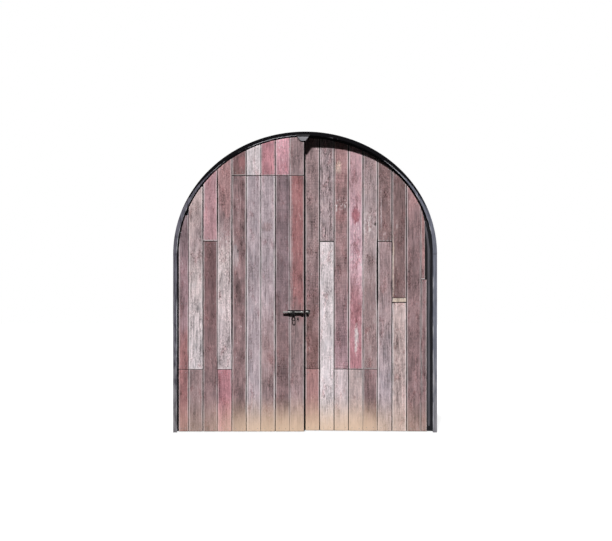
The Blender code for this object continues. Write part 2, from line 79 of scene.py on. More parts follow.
class Tone(Enum):
    """Colours of the door's finishes, as red, green and blue from 0 to 255."""

    WHITEWASH = (214, 202, 205)
    BONE = (206, 190, 190)
    CHALK = (197, 181, 184)
    PALE_ASH = (195, 173, 171)
    ASH = (181, 161, 160)
    LILAC_GREY = (176, 160, 166)
    GREY_PINK = (171, 151, 153)
    STONE_GREY = (163, 144, 147)
    WARM_GREY = (157, 133, 135)
    CLAY = (155, 128, 129)
    GREY_BROWN = (149, 126, 127)
    PALE_PINK = (201, 152, 162)
    SHELL_PINK = (204, 169, 179)
    DUSTY_PINK = (180, 146, 152)
    FADED_ROSE = (176, 138, 144)
    ROSE = (182, 130, 138)
    DULL_RED = (168, 127, 126)
    RED_BROWN = (155, 111, 112)
    ROSE_BROWN = (156, 122, 123)
    OLD_RED = (166, 92, 102)
    MAUVE = (152, 124, 130)
    SLATE_MAUVE = (131, 111, 116)
    BROWN = (141, 115, 117)
    UMBER = (133, 108, 108)
    BURNT_BROWN = (130, 99, 98)
    DARK_BROWN = (122, 94, 96)
    BRICK_BROWN = (147, 103, 104)
    KNOT = (52, 38, 38)
    STAIN_RED = (222, 196, 196)
    STAIN_GREY = (240, 246, 248)
    BARE_TAN = (216, 196, 180)
    BARE_GREY = (154, 139, 139)
    DUST = (228, 198, 170)
    # Whitewash flakes, and the colour of the painted highlights on the boards' edges and lower ends.
    LIME = (228, 220, 221)
    # Cracks, and the colour of the painted shade along the boards' seams and level upper ends.
    CRACK = (42, 33, 34)
    PAINT_BLACK = (14, 13, 16)
    PAINT_SLATE = (103, 101, 111)
    PAINT_DIRTY = (66, 64, 72)
    # Lighter blue-grey of the right jamb, partly painted light where the jamb catches the light.
    PAINT_FADED = (112, 114, 126)
    # Painted shade on the right jamb's shaded outer edge.
    PAINT_NAVY = (40, 44, 54)
    PAINT_DUSTY = (140, 136, 137)
    # Painted highlight on the frame's inner lip.
    LIP_GREY = (178, 178, 184)
    ZINC = (146, 144, 149)
    ZINC_DARK = (98, 96, 100)
    STEEL = (122, 121, 119)
    STEEL_DARK = (70, 67, 64)
    IRON = (22, 20, 20)
    IRON_WORN = (62, 59, 57)
    IRON_GREY = (90, 86, 84)
    RIM_DARK = (24, 24, 27)
    RIM_GREY = (52, 52, 56)
    STILE_DARK = (62, 61, 66)
    STILE_GREY = (96, 94, 100)
    RUST = (96, 56, 38)
    PLY = (158, 128, 96)
    PLY_DARK = (118, 90, 64)

    @property
    def linear(self) -> Colour:
        """The colour in the linear numbers that shaders use, by the usual sRGB curve.

        Returns:
            Red, green, blue and 1.
        """
        share = np.array(self.value) / 255.0
        toe, curve = share / 12.92, ((share + 0.055) / 1.055) ** 2.4
        return (*np.where(share <= 0.04045, toe, curve).tolist(), 1.0)


class Noise(Enum):
    """Kinds of noise: how fine it is along X, Y and Z, its finer layers, their strength and its twist."""

    GRAIN = ((260.0, 70.0, 6.0), 4.0, 0.55, 0.0)
    STREAK = ((86.0, 44.0, 4.4), 5.0, 0.65, 0.2)
    PATCH = ((46.0, 26.0, 13.0), 5.0, 0.65, 0.5)
    BLOTCH = ((11.0, 9.0, 3.4), 4.0, 0.55, 0.0)
    CHIP = ((95.0, 50.0, 30.0), 3.0, 0.6, 0.4)
    CRACK = ((34.0, 12.0, 0.55), 2.0, 0.4, 0.2)
    STAIN = ((16.0, 11.0, 6.5), 5.0, 0.6, 0.4)
    SPECK = ((120.0, 60.0, 52.0), 3.0, 0.6, 0.3)
    SAW_MARK = ((9.0, 9.0, 95.0), 3.0, 0.6, 0.2)
    # Breaks up the painted highlights along the boards' edges and lower ends.
    RUBBING = ((9.0, 2.0, 2.6), 3.0, 0.6, 0.0)
    EVEN_BRUSH = ((90.0, 90.0, 90.0), 4.0, 0.6, 0.0)
    UPRIGHT_BRUSH = ((110.0, 110.0, 3.0), 4.0, 0.6, 0.0)
    TURNED_BRUSH = ((60.0, 60.0, 160.0), 4.0, 0.6, 0.0)
    LEVEL_BRUSH = ((14.0, 160.0, 160.0), 4.0, 0.6, 0.0)
    STEEL_CLOUD = ((14.0, 14.0, 14.0), 4.0, 0.6, 0.0)
    STEEL_GRIT = ((420.0, 420.0, 420.0), 2.0, 0.5, 0.0)
    PAINT_STREAK = ((120.0, 60.0, 4.0), 4.0, 0.6, 0.0)
    PAINT_CLOUD = ((30.0, 30.0, 9.0), 4.0, 0.6, 0.0)
    PAINT_GRIT = ((260.0, 260.0, 140.0), 2.0, 0.5, 0.0)
    # Breaks up the painted highlight on the frame's inner lip.
    LIP_WEAR = ((2.6, 2.6, 2.6), 2.0, 0.5, 0.0)
    VENEER = ((3.1, 3.1, 0.55), 2.0, 0.5, 0.4)
    VENEER_RING = ((9.0, 9.0, 0.5), 2.0, 0.4, 0.3)
    VENEER_VEIN = ((120.0, 120.0, 2.0), 4.0, 0.6, 0.0)
    VENEER_PORE = ((420.0, 420.0, 20.0), 2.0, 0.5, 0.0)


class Side(Enum):
    """Which side of the centre line a piece is on."""

    LEFT = -1
    RIGHT = 1

    @property
    def word(self) -> str:
        """The side's name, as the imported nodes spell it."""
        return self.name.lower()


# Shader maths


def math_operator(operation: str, reflected: bool = False) -> Callable[["Field", "Value"], "Field"]:
    """Makes an operator of Field that adds one Math node.

    Args:
        operation: the Math node's operation.
        reflected: puts the other value first.

    Returns:
        The operator's method.
    """

    def operator(self: "Field", other: "Value" = 0.0) -> "Field":
        """Adds the Math node."""
        first, second = (other, self) if reflected else (self, other)
        return self.graph.node("ShaderNodeMath", {"operation": operation}, {0: first, 1: second})

    return operator


class Field:
    """A node's output, on which Python's operators add Math nodes.

    The marks | and & give the larger and the smaller of two values.
    """

    def __init__(self, graph: "Graph", socket: bpy.types.NodeSocket) -> None:
        """Wraps a socket of a graph."""
        self.graph = graph
        self.socket = socket

    __add__ = __radd__ = math_operator("ADD")
    __mul__ = __rmul__ = math_operator("MULTIPLY")
    __or__ = __ror__ = math_operator("MAXIMUM")
    __and__ = __rand__ = math_operator("MINIMUM")
    __sub__ = math_operator("SUBTRACT")
    __rsub__ = math_operator("SUBTRACT", reflected=True)
    __truediv__ = math_operator("DIVIDE")
    __rtruediv__ = math_operator("DIVIDE", reflected=True)
    __abs__ = math_operator("ABSOLUTE")

    def rise(self, start: float, end: float) -> "Field":
        """Smooth step from 0 at start to 1 at end. It falls where end is below start."""
        inputs = {"Value": self, "From Min": start, "From Max": end}
        return self.graph.node("ShaderNodeMapRange", {"interpolation_type": "SMOOTHSTEP"}, inputs)


Value = Union[Field, float]


class Graph:
    """Node tree of a material or of the world."""

    def __init__(self, owner: bpy.types.Material | bpy.types.World) -> None:
        """Empties the owner's node tree.

        Args:
            owner: the material or world.
        """
        owner.use_nodes = True
        self.owner = owner
        self.tree = owner.node_tree
        self.tree.nodes.clear()

    @classmethod
    def named(cls, name: str) -> "Graph":
        """Starts a new material."""
        return cls(bpy.data.materials.new(name))

    def node(
        self, kind: str, settings: dict | None = None, inputs: dict | None = None, output: int | str = 0
    ) -> Field | None:
        """Adds one node.

        Args:
            kind: the node's type.
            settings: its properties, which are set first. "stops" fills a colour ramp.
            inputs: values or links of its sockets, by name or number.
            output: the output that is wanted.

        Returns:
            The output, or None where the node has none.
        """
        made = self.tree.nodes.new(kind)
        for key, value in (settings or {}).items():
            if key == "stops":
                self._fill_ramp(made.color_ramp, value)
            else:
                setattr(made, key, value)
        for key, value in (inputs or {}).items():
            if isinstance(value, Field):
                self.tree.links.new(value.socket, made.inputs[key])
            else:
                made.inputs[key].default_value = value.linear if isinstance(value, Tone) else value
        return Field(self, made.outputs[output]) if made.outputs else None

    @staticmethod
    def _fill_ramp(ramp: bpy.types.ColorRamp, stops: Sequence[tuple[float, Colour]]) -> None:
        """Fills a colour ramp.

        Args:
            ramp: the ramp.
            stops: two or more positions and colours, in rising order.
        """
        while len(ramp.elements) < len(stops):
            ramp.elements.new(1.0)
        for element, (position, colour) in zip(ramp.elements, stops):
            element.position = position
            element.color = colour

    def place(self, scale: Triple = (1.0, 1.0, 1.0), offset: Triple = ORIGIN) -> Field:
        """Object coordinates, moved and then stretched.

        Args:
            scale: stretch along X, Y and Z.
            offset: what is added first.

        Returns:
            The place.
        """
        place = self.node("ShaderNodeTexCoord", output="Object")
        moved = self.node("ShaderNodeVectorMath", {"operation": "ADD"}, {0: place, 1: offset})
        return self.node("ShaderNodeVectorMath", {"operation": "MULTIPLY"}, {0: moved, 1: scale})

    def part(self, vector: Field, axis: str) -> Field:
        """One number of a vector."""
        return self.node("ShaderNodeSeparateXYZ", inputs={0: vector}, output=axis)

    def uv(self, name: str, axis: str) -> Field:
        """One number of a UV map, in metres."""
        return self.part(self.node("ShaderNodeUVMap", {"uv_map": name}, output="UV"), axis)

    def noise(self, kind: Noise, offset: Triple = ORIGIN) -> Field:
        """Noise round 0, mostly between -0.25 and 0.25.

        Args:
            kind: what it is like.
            offset: moves it along.

        Returns:
            The noise.
        """
        scale, detail, strength, twist = kind.value
        inputs = {"Vector": self.place(scale, offset), "Scale": 1.0, "Detail": detail}
        inputs |= {"Roughness": strength, "Distortion": twist}
        return self.node("ShaderNodeTexNoise", inputs=inputs) - 0.5

    def mix(self, share: Value, first: Field | Tone, second: Field | Tone, blend: str = "MIX") -> Field:
        """Colour between two others."""
        settings = {"data_type": "RGBA", "clamp_factor": True, "blend_type": blend}
        return self.node("ShaderNodeMix", settings, {0: share, 6: first, 7: second}, 2)

    def glaze(self, first: Field, second: Tone) -> Field:
        """Colour stained by another, as if through a thin glaze."""
        return self.mix(1.0, first, second, "MULTIPLY")

    def shade(self, colour: Field, strength: Field) -> Field:
        """Colour made lighter or darker."""
        inputs = {0: colour, "Scale": strength | 0.0}
        return self.node("ShaderNodeVectorMath", {"operation": "SCALE"}, inputs)

    def surface(
        self,
        colour: Field,
        roughness: Field,
        relief: Field,
        depth: float,
        specular: float,
        metallic: Value = 0.0,
    ) -> bpy.types.Material:
        """Finishes the material with a Principled shader.

        Args:
            colour: the base colour.
            roughness: the roughness.
            relief: height of the fine relief, about 0 to 1.
            depth: depth in metres of a relief of 1.
            specular: level of the mirror reflection.
            metallic: share of bare metal.

        Returns:
            The material.
        """
        inputs = {"Base Color": colour, "Roughness": roughness, "Metallic": metallic}
        inputs["Specular IOR Level"] = specular
        bump = {"Strength": 1.0, "Distance": depth, "Height": relief}
        inputs["Normal"] = self.node("ShaderNodeBump", inputs=bump)
        shader = self.node("ShaderNodeBsdfPrincipled", inputs=inputs)
        self.node("ShaderNodeOutputMaterial", inputs={"Surface": shader})
        return self.owner


# Finishes


@dataclass(frozen=True)
class Mark:
    """A soft patch on a board: its middle, half its size, its colour, cover and torn outline."""

    x: float
    z: float
    half_width: float
    half_height: float
    tone: Tone
    strength: float = 0.8
    ragged: float = 2.0

    def reach(self, x: Field, z: Field) -> Field:
        """Distance from the patch's middle in shares of its half sizes, squared."""
        across, up = (x - self.x) / self.half_width, (z - self.z) / self.half_height
        return across * across + up * up


@dataclass(frozen=True)
class BoardFinish:
    """Weathered sawn wood with what is left of its old paint.

    Attributes:
        stops: heights on the door and the tone that the board has there.
        grain, streaks, patches, specks: contrast of fine grain, long streaks, short patches and specks.
        saw, blotches: contrast of a saw's marks across the board, and of wide light and dark areas.
        stains: strength of the red-brown and grey stains.
        bare: how much bare grey wood shows through.
        flakes: amount of white flakes.
        flake_foot, flake_top, flake_fade: heights where they begin and end, and over which they fade.
        checks: amount of drying cracks.
        light_foot, light_left, light_right: strength of the painted highlights at the lower end and along the
            edges.
        edge_line, foot_line, dirt_line: width of those painted highlight lines, and of the painted shade
            along the long edges.
        dust_top: height up to which splashed dust reaches.
        ramp_height: height that the ramp of tones spans.
        marks: patches of this board alone.
    """

    stops: tuple[tuple[float, Tone], ...]
    grain: float = 0.8
    streaks: float = 1.0
    patches: float = 1.0
    specks: float = 1.2
    saw: float = 0.3
    blotches: float = 1.9
    stains: float = 0.75
    bare: float = 0.15
    flakes: float = 0.15
    flake_foot: float = -1.0
    flake_top: float = 4.0
    flake_fade: float = 0.12
    checks: float = 0.6
    # Painted highlights at the lower end and along the long edges, and painted shade along the seams.
    light_foot: float = 0.0
    light_left: float = 0.36
    light_right: float = 0.36
    edge_line: float = 0.0145
    foot_line: float = 0.014
    dirt_line: float = 0.0022
    dust_top: float = 0.40
    ramp_height: float = 3.0
    marks: tuple[Mark, ...] = ()

    def material(self, name: str, width: float, length: float, seed: int) -> bpy.types.Material:
        """Builds the wood of one board.

        The ramp over the height gives the base tone. Marks, stains and bare wood change it. Noise
        shades it: drawn out along the board as grain, streaks and patches, across it as saw marks,
        and evenly as specks. Flakes, cracks, painted highlights along the edges and the lower end,
        painted shade along the seams and ends, and dust are laid over that through masks of noise
        and of the distance from the edges.

        Args:
            name: the material's name.
            width: the board's width.
            length: the board's length up to a level top, or 0 where the arch cuts it.
            seed: number that picks this board's own grain.

        Returns:
            The material.
        """
        offset = tuple(np.random.default_rng(seed).uniform(-20.0, 20.0, 3).tolist())
        g = Graph.named(name)
        x, z = g.part(g.place(), "X"), g.part(g.place(), "Z")
        kinds = (Noise.GRAIN, Noise.STREAK, Noise.PATCH, Noise.BLOTCH, Noise.CHIP, Noise.CRACK)
        grain, streak, patch, blotch, chip, vein = (g.noise(kind, offset) for kind in kinds)
        kinds = (Noise.STAIN, Noise.SPECK, Noise.SAW_MARK)
        stain, speck, saw = (g.noise(kind, offset[::-1]) for kind in kinds)
        speck = speck * stain.rise(-0.2, 0.2)

        colour = self._tones(g, z + 0.9 * blotch)
        for mark in self.marks:
            reach = mark.reach(x + 0.03 * patch, z) + mark.ragged * (streak + patch + chip)
            colour = g.mix(reach.rise(1.5, 0.2) * mark.strength, colour, mark.tone)
        for tone, start, end in ((Tone.STAIN_RED, 0.02, 0.22), (Tone.STAIN_GREY, -0.02, -0.22)):
            colour = g.mix(stain.rise(start, end) * self.stains, colour, g.glaze(colour, tone))
        worn = (streak + patch + 0.6 * blotch).rise(0.26 - 0.4 * self.bare, 0.42 - 0.4 * self.bare)
        colour = g.mix(worn * min(1.0, 3.0 * self.bare), colour, Tone.BARE_GREY)
        light = 1.0 + self.grain * grain + self.streaks * streak + self.patches * patch
        light = light + 2.0 * self.specks * speck + self.saw * saw + self.blotches * blotch
        colour = g.shade(colour, light | 0.2)

        flake = chip + 0.5 * patch + 0.5 * blotch
        flake = flake.rise(0.24 - 0.24 * self.flakes, 0.33 - 0.22 * self.flakes)
        span = z.rise(self.flake_foot, self.flake_foot + self.flake_fade)
        span = span * z.rise(self.flake_top + self.flake_fade, self.flake_top)
        flake = flake * span * min(1.0, 0.3 + self.flakes)
        colour = g.mix(flake, colour, Tone.LIME)
        crack = abs(vein).rise(0.014, 0.002) * streak.rise(0.02, -0.1) * self.checks
        colour = g.mix(crack, colour, Tone.CRACK)

        # Painted highlights along the edges and the lower end, and painted shade along the seams and ends.
        colour, seam_shade = self._edges(g, colour, (width, length), offset, patch)
        dust = (z - 0.16 * blotch - 0.10 * streak).rise(self.dust_top, -0.02)
        middle = 0.25 + 0.75 * x.rise(-1.05, -0.45) * x.rise(1.15, 0.50)
        colour = g.mix(dust * middle * 0.85, colour, Tone.DUST)
        relief = 0.9 * grain + 1.2 * streak + 0.7 * patch + 0.6 * flake - 0.9 * crack - 0.5 * seam_shade
        return g.surface(colour, 0.80 + 0.25 * grain, relief, 0.0011, 0.2)

    def _tones(self, g: Graph, height: Field) -> Field:
        """Base tone at a height, from the stops along a colour ramp.

        Args:
            g: the graph.
            height: the height.

        Returns:
            The colour.
        """
        stops = [(z / self.ramp_height, tone.linear) for z, tone in self.stops]
        if len(stops) == 1:
            stops.append((1.0, stops[0][1]))
        return g.node("ShaderNodeValToRGB", {"stops": stops}, {0: height / self.ramp_height})

    def _edges(
        self, g: Graph, colour: Field, size: tuple[float, float], offset: Triple, patch: Field
    ) -> tuple[Field, Field]:
        """Painted highlights as pale lines near the long edges and at the lower end, and painted shade along
        the long edges and the level upper end.

        Args:
            g: the graph.
            colour: the colour so far.
            size: the board's width, and its length up to a level top or 0.
            offset: place of this board's noise.
            patch: noise that breaks the lines up.

        Returns:
            The new colour, and the mask of the painted shade.
        """
        width, length = size
        across, up = g.uv(BOARD_UV, "X"), g.uv(BOARD_UV, "Y")
        from_right = width - across
        # Pale lines along both long edges are painted highlights, as if the eased edges caught the light.
        highlight_patches = g.noise(Noise.RUBBING, offset)
        sides = ((across, self.light_left, highlight_patches), (from_right, self.light_right, 0.0 - highlight_patches))
        for distance, strength, where in sides:
            line = (distance + 0.016 * patch).rise(self.edge_line, self.edge_line - 0.006)
            line = line * (where + 0.3 * patch).rise(-0.22, 0.06)
            colour = g.mix(line * strength, colour, Tone.LIME)
        # Darkening close to the long edges, and at a level upper end, is painted shade in the seams and
        # joints.
        seam_shade = ((across & from_right) + 0.006 * patch).rise(self.dirt_line, self.dirt_line - 0.0016)
        # A pale line at the lower end is a painted highlight above the joint below it.
        if self.light_foot:
            worn = (up + 0.02 * patch).rise(self.foot_line, self.foot_line - 0.008)
            worn = worn * (patch - 0.5 * highlight_patches).rise(-0.16, 0.04)
            colour = g.mix(worn * self.light_foot, colour, Tone.LIME)
        if length:
            seam_shade = seam_shade | (up + 0.01 * patch).rise(length - 0.006, length - 0.002)
        return g.mix(seam_shade * 0.7, colour, Tone.CRACK), seam_shade


@dataclass(frozen=True)
class SteelFinish:
    """Painted or bare steel with streaks, wear and rust.

    Attributes:
        tone, worn: the main colour, and the colour where it is worn.
        wear, rust: amounts of rubbing and of rust.
        brush: kind of its fine streaks.
        metallic, roughness, specular: share of bare metal, roughness and level of mirror reflection.
        painted_above: height above which black paint covers it, or None.
    """

    tone: Tone
    worn: Tone
    wear: float = 0.5
    rust: float = 0.1
    brush: Noise = Noise.EVEN_BRUSH
    metallic: float = 0.0
    roughness: float = 0.55
    specular: float = 0.3
    painted_above: float | None = None

    def material(self, name: str) -> bpy.types.Material:
        """Builds the steel: noise of three scales picks where it is worn, and two of them where it rusts.

        Args:
            name: the material's name.

        Returns:
            The material.
        """
        g = Graph.named(name)
        brushed, cloud, grit = map(g.noise, (self.brush, Noise.STEEL_CLOUD, Noise.STEEL_GRIT))
        worn = brushed + 0.7 * cloud + 0.3 * grit
        worn = worn.rise(0.22 - 0.35 * self.wear, 0.42 - 0.3 * self.wear)
        colour = g.mix(worn, self.tone, self.worn)
        rust = (cloud + 0.5 * brushed).rise(0.20 - 0.2 * self.rust, 0.32 - 0.15 * self.rust)
        rust = rust * min(1.0, 4.0 * self.rust)
        colour = g.mix(rust, colour, Tone.RUST)
        if self.painted_above is not None:
            paint = g.part(g.place(), "Z").rise(self.painted_above - 0.002, self.painted_above)
            colour = g.mix(paint, colour, Tone.PAINT_BLACK)
        colour = g.shade(colour, (1.0 + 0.9 * brushed + 0.4 * grit) | 0.2)
        roughness = self.roughness + 0.5 * brushed + 0.25 * rust
        metallic = (1.0 - rust) * self.metallic
        return g.surface(colour, roughness, brushed + 0.5 * grit, 0.0003, self.specular, metallic)


@dataclass(frozen=True)
class FrameFinish:
    """Paint of the welded frame: black at the crown, lighter down the jambs, with a light line on the inner
    lip.

    These are partly the paint's own tones and partly painted light: painted shade keeps the crown black, the
    jambs are lightened where they catch the light, the right jamb's dark outer edge is painted shade of its
    shaded side, and the line on the lip is a painted highlight.

    Attributes:
        face: width of the frame's face.
        fade_low, fade_high: heights below which the outer edge has the lighter colour and above which it
            stays black.
        fade_slant: how much higher the lighter colour reaches for each metre in from the outer edge.
        navy_foot, navy_top: heights over which the right outer edge comes to take its painted shade.
        dust_top: height up to which splashed dust reaches.
        lip: width of the painted highlight line on the inner lip.
    """

    face: float
    fade_low: float = 2.17
    fade_high: float = 2.27
    fade_slant: float = 12.0
    navy_foot: float = 2.05
    navy_top: float = 2.40
    dust_top: float = 1.00
    lip: float = 0.007

    def material(self, name: str) -> bpy.types.Material:
        """Builds the paint from the height, the side and the place across the face.

        Args:
            name: the material's name.

        Returns:
            The material.
        """
        g = Graph.named(name)
        x, z = g.part(g.place(), "X"), g.part(g.place(), "Z")
        inset = g.uv(SECTION_UV, "X")
        kinds = (Noise.PAINT_STREAK, Noise.PAINT_CLOUD, Noise.PAINT_GRIT, Noise.LIP_WEAR)
        streak, cloud, grit, wear = map(g.noise, kinds)
        # The dark outer edge of the right jamb, coming in going up, is painted shade of the jamb's shaded
        # side.
        outer = (inset + 0.02 * streak).rise(0.62 * self.face, 0.42 * self.face)
        outer_shade = outer * z.rise(self.navy_foot, self.navy_top)
        right = g.mix(outer_shade, Tone.PAINT_FADED, Tone.PAINT_NAVY)
        slate = (streak + cloud).rise(-0.25, 0.1)
        left = g.mix(slate, Tone.PAINT_DIRTY, Tone.PAINT_SLATE)
        lit_jamb_colour = g.mix(x.rise(-0.2, 0.2), left, right)
        # Black above and the lighter jamb colours below: partly the paint's own tones, partly painted light,
        # with painted shade at the crown and the jambs lightened where they catch the light.
        fade = (z + 0.4 * cloud - self.fade_slant * inset).rise(self.fade_high, self.fade_low)
        colour = g.mix(fade, Tone.PAINT_BLACK, lit_jamb_colour)
        dust = (z - 2.0 * cloud - 1.2 * streak).rise(self.dust_top, 0.0)
        colour = g.mix(dust * 0.6, colour, Tone.PAINT_DUSTY)
        # The light line on the inner lip is a painted highlight, broken up by noise.
        lip = inset.rise(self.face - self.lip, self.face - 0.5 * self.lip)
        highlight_patches = (wear + 0.3 * cloud).rise(-0.02, 0.08)
        colour = g.mix(lip * highlight_patches, colour, Tone.LIP_GREY)
        rust = (cloud + 0.6 * streak - 0.12 * z).rise(0.10, 0.30)
        colour = g.mix(rust * 0.35, colour, Tone.RUST)
        colour = g.shade(colour, (1.0 + 1.3 * streak + 0.9 * cloud + 0.5 * grit) | 0.2)
        return g.surface(colour, 0.62 + 0.4 * cloud, streak + 0.6 * grit, 0.0003, 0.03)


@dataclass(frozen=True)
class PlywoodFinish:
    """Plywood of the leaves' cores, painted dark in front and at its borders.
    The black front also serves as painted shade where it shows through the seams and beside the last boards.

    Attributes:
        half_depth: depth up to which the front is painted.
        border: width of the border that is painted grey.
    """

    half_depth: float
    border: float = 0.0205

    def material(self, name: str) -> bpy.types.Material:
        """Builds the wood: bands of noise bent by wide noise, as peeled veneer shows, and the paint.

        Args:
            name: the material's name.

        Returns:
            The material.
        """
        g = Graph.named(name)
        kinds = (Noise.VENEER, Noise.VENEER_RING, Noise.VENEER_VEIN, Noise.VENEER_PORE, Noise.UPRIGHT_BRUSH)
        wide, ring, vein, pores, brushed = map(g.noise, kinds)
        rings = abs(ring + 0.25 * wide).rise(0.0, 0.16) - 0.5
        bands = (0.5 * rings + vein + 1.5 * wide).rise(-0.55, 0.45)
        colour = g.mix(bands, Tone.PLY_DARK, Tone.PLY)
        colour = g.shade(colour, 1.0 + 0.5 * pores + 0.6 * vein)
        edge = g.uv(SECTION_UV, "X").rise(self.border + 0.001, self.border)
        front = g.uv(SECTION_UV, "Y").rise(self.half_depth, self.half_depth - 0.004)
        grey = g.mix(brushed.rise(-0.2, 0.2), Tone.STILE_DARK, Tone.STILE_GREY)
        # Black on the front half: the sheet's own paint, and painted shade where it shows through the seams
        # and beside the last boards.
        colour = g.mix(front, colour, g.mix(edge, Tone.PAINT_BLACK, grey))
        return g.surface(colour, 0.74 + 0.3 * pores, 0.6 * pores + vein, 0.0004, 0.2)


# Surfaces


@dataclass
class Surface:
    """Mesh held as arrays.

    Attributes:
        points: places of the vertices.
        quads: four vertex numbers for each face.
        caps: vertex numbers of faces with more corners.
        uv: for each vertex a pair in metres, or None.
    """

    points: np.ndarray
    quads: np.ndarray
    caps: list[list[int]] = field(default_factory=list)
    uv: np.ndarray | None = None

    @classmethod
    def grid(
        cls, points: np.ndarray, along: bool = False, capped: bool = True, uv: np.ndarray | None = None
    ) -> "Surface":
        """Skin over a grid of points, whose last column joins its first.

        Args:
            points: rows by columns by 3.
            along: joins the last row to the first.
            capped: closes both end rows with one face each, where along is off.
            uv: rows by columns by 2.

        Returns:
            The surface, facing outwards.
        """
        rows, columns = points.shape[:2]
        index = np.arange(rows * columns).reshape(rows, columns)
        caps = [] if along or not capped else [index[0][::-1].tolist(), index[-1].tolist()]
        index = np.concatenate([index, index[:, :1]], axis=1)
        if along:
            index = np.concatenate([index, index[:1]], axis=0)
        corners = (index[:-1, :-1], index[:-1, 1:], index[1:, 1:], index[1:, :-1])
        quads = np.stack(corners, axis=-1).reshape(-1, 4)
        flat = None if uv is None else uv.reshape(-1, 2)
        return cls(points.reshape(-1, 3), quads, caps, flat).faced()

    def faced(self) -> "Surface":
        """Turns the skin to face outwards: its signed volume is made positive.

        Returns:
            The surface itself.
        """
        triangles = [self.quads[:, [0, 1, 2]], self.quads[:, [0, 2, 3]]]
        for cap in self.caps:
            ends = np.array([cap[1:-1], cap[2:]]).T
            triangles.append(np.column_stack([np.full(len(ends), cap[0]), ends]))
        a, b, c = (self.points[np.concatenate(triangles)[:, i]] for i in range(3))
        if np.einsum("ij,ij->", a, np.cross(b, c)) < 0.0:
            self.quads = self.quads[:, ::-1]
            self.caps = [cap[::-1] for cap in self.caps]
        return self

    def facing(self, faces: np.ndarray) -> np.ndarray:
        """Turns end faces the way that the skin beside them runs.

        The skin shares an edge with the first end face. Neighbours that face the same way run along
        a shared edge in opposite directions.

        Args:
            faces: four vertex numbers for each end face.

        Returns:
            The faces, turned where needed.
        """
        starts, ends = self.quads, np.roll(self.quads, -1, axis=1)
        same = np.any((starts == faces[0, 0]) & (ends == faces[0, 1]))
        return faces[:, ::-1] if same else faces

    @staticmethod
    def joined(parts: Sequence["Surface"]) -> "Surface":
        """One surface that holds several.

        Args:
            parts: the surfaces.

        Returns:
            The whole, without a UV where a part has none.
        """
        starts = np.cumsum([0] + [len(part.points) for part in parts])
        caps = [[int(i + start) for i in cap] for part, start in zip(parts, starts) for cap in part.caps]
        has_uv = all(part.uv is not None for part in parts)
        return Surface(
            np.concatenate([part.points for part in parts]),
            np.concatenate([part.quads + start for part, start in zip(parts, starts)]),
            caps,
            np.concatenate([part.uv for part in parts]) if has_uv else None,
        )

    def repeated(self, shifts: np.ndarray) -> "Surface":
        """The same shape at several places.

        Args:
            shifts: how far each copy is moved, copies by 3.

        Returns:
            All the copies in one surface.
        """
        starts = len(self.points) * np.arange(len(shifts))[:, None, None]
        points = (self.points + shifts[:, None]).reshape(-1, 3)
        caps = np.array(self.caps)
        return Surface(
            points,
            (self.quads + starts).reshape(-1, 4),
            (caps + starts).reshape(-1, caps.shape[1]).tolist(),
        )

    def moved(self, change: Callable[[np.ndarray], np.ndarray]) -> "Surface":
        """The surface with its points put through a change of place."""
        return replace(self, points=change(self.points))

    def piece(self, name: str, uv_name: str, sharp: float = math.radians(38.0)) -> bpy.types.Object:
        """Makes the object.

        Args:
            name: its name.
            uv_name: name of its UV map.
            sharp: angle up to which its shading is smooth.

        Returns:
            The object, in the scene.
        """
        mesh = bpy.data.meshes.new(name)
        mesh.from_pydata(self.points.tolist(), [], self.quads.tolist() + self.caps)
        if self.uv is not None:
            loops = np.empty(len(mesh.loops), np.int32)
            mesh.loops.foreach_get("vertex_index", loops)
            layer = mesh.uv_layers.new(name=uv_name)
            layer.data.foreach_set("uv", self.uv[loops].astype(np.float32).ravel())
        mesh.shade_smooth()
        mesh.set_sharp_from_angle(angle=sharp)
        obj = bpy.data.objects.new(name, mesh)
        bpy.context.scene.collection.objects.link(obj)
        return obj


def value_noise(across: np.ndarray, along: np.ndarray, seed: int) -> np.ndarray:
    """Smooth noise from -1 to 1.

    Random numbers sit on the whole-number points of a plane and repeat after a table's length.
    Between them they are blended by 3t^2 - 2t^3 in each direction.

    Args:
        across: first coordinate.
        along: second coordinate.
        seed: picks the random numbers.

    Returns:
        The noise, in the shape of the coordinates.
    """
    table = np.random.default_rng(seed).uniform(-1.0, 1.0, (61, 67))
    columns, rows = table.shape
    column, row = np.floor(across).astype(int), np.floor(along).astype(int)
    s, t = across - column, along - row
    s, t = s * s * (3.0 - 2.0 * s), t * t * (3.0 - 2.0 * t)
    c0, c1, r0, r1 = column % columns, (column + 1) % columns, row % rows, (row + 1) % rows
    low = table[c0, r0] * (1.0 - s) + table[c1, r0] * s
    high = table[c0, r1] * (1.0 - s) + table[c1, r1] * s
    return low * (1.0 - t) + high * t


def spread(*coordinates: np.ndarray | float) -> np.ndarray:
    """Points from their coordinates, each of which is spread over the whole grid."""
    return np.stack(np.broadcast_arrays(*coordinates), axis=-1)


def circle(sides: int) -> tuple[np.ndarray, np.ndarray]:
    """Cosines and sines at even steps of one turn."""
    angle = np.linspace(0.0, 2 * math.pi, sides, endpoint=False)
    return np.cos(angle), np.sin(angle)


def quarter_circle(radius: float) -> tuple[np.ndarray, np.ndarray]:
    """Rounded edge: how far each of its points lies in from the side, and down from the face."""
    angle = np.linspace(0.0, math.pi / 2, 4)
    return radius * (1.0 - np.cos(angle)), radius * (1.0 - np.sin(angle))


def rectangle(left: float, right: float, low: float, high: float) -> list[tuple[float, float]]:
    """Corners of a rectangle, in order."""
    return [(left, low), (right, low), (right, high), (left, high)]


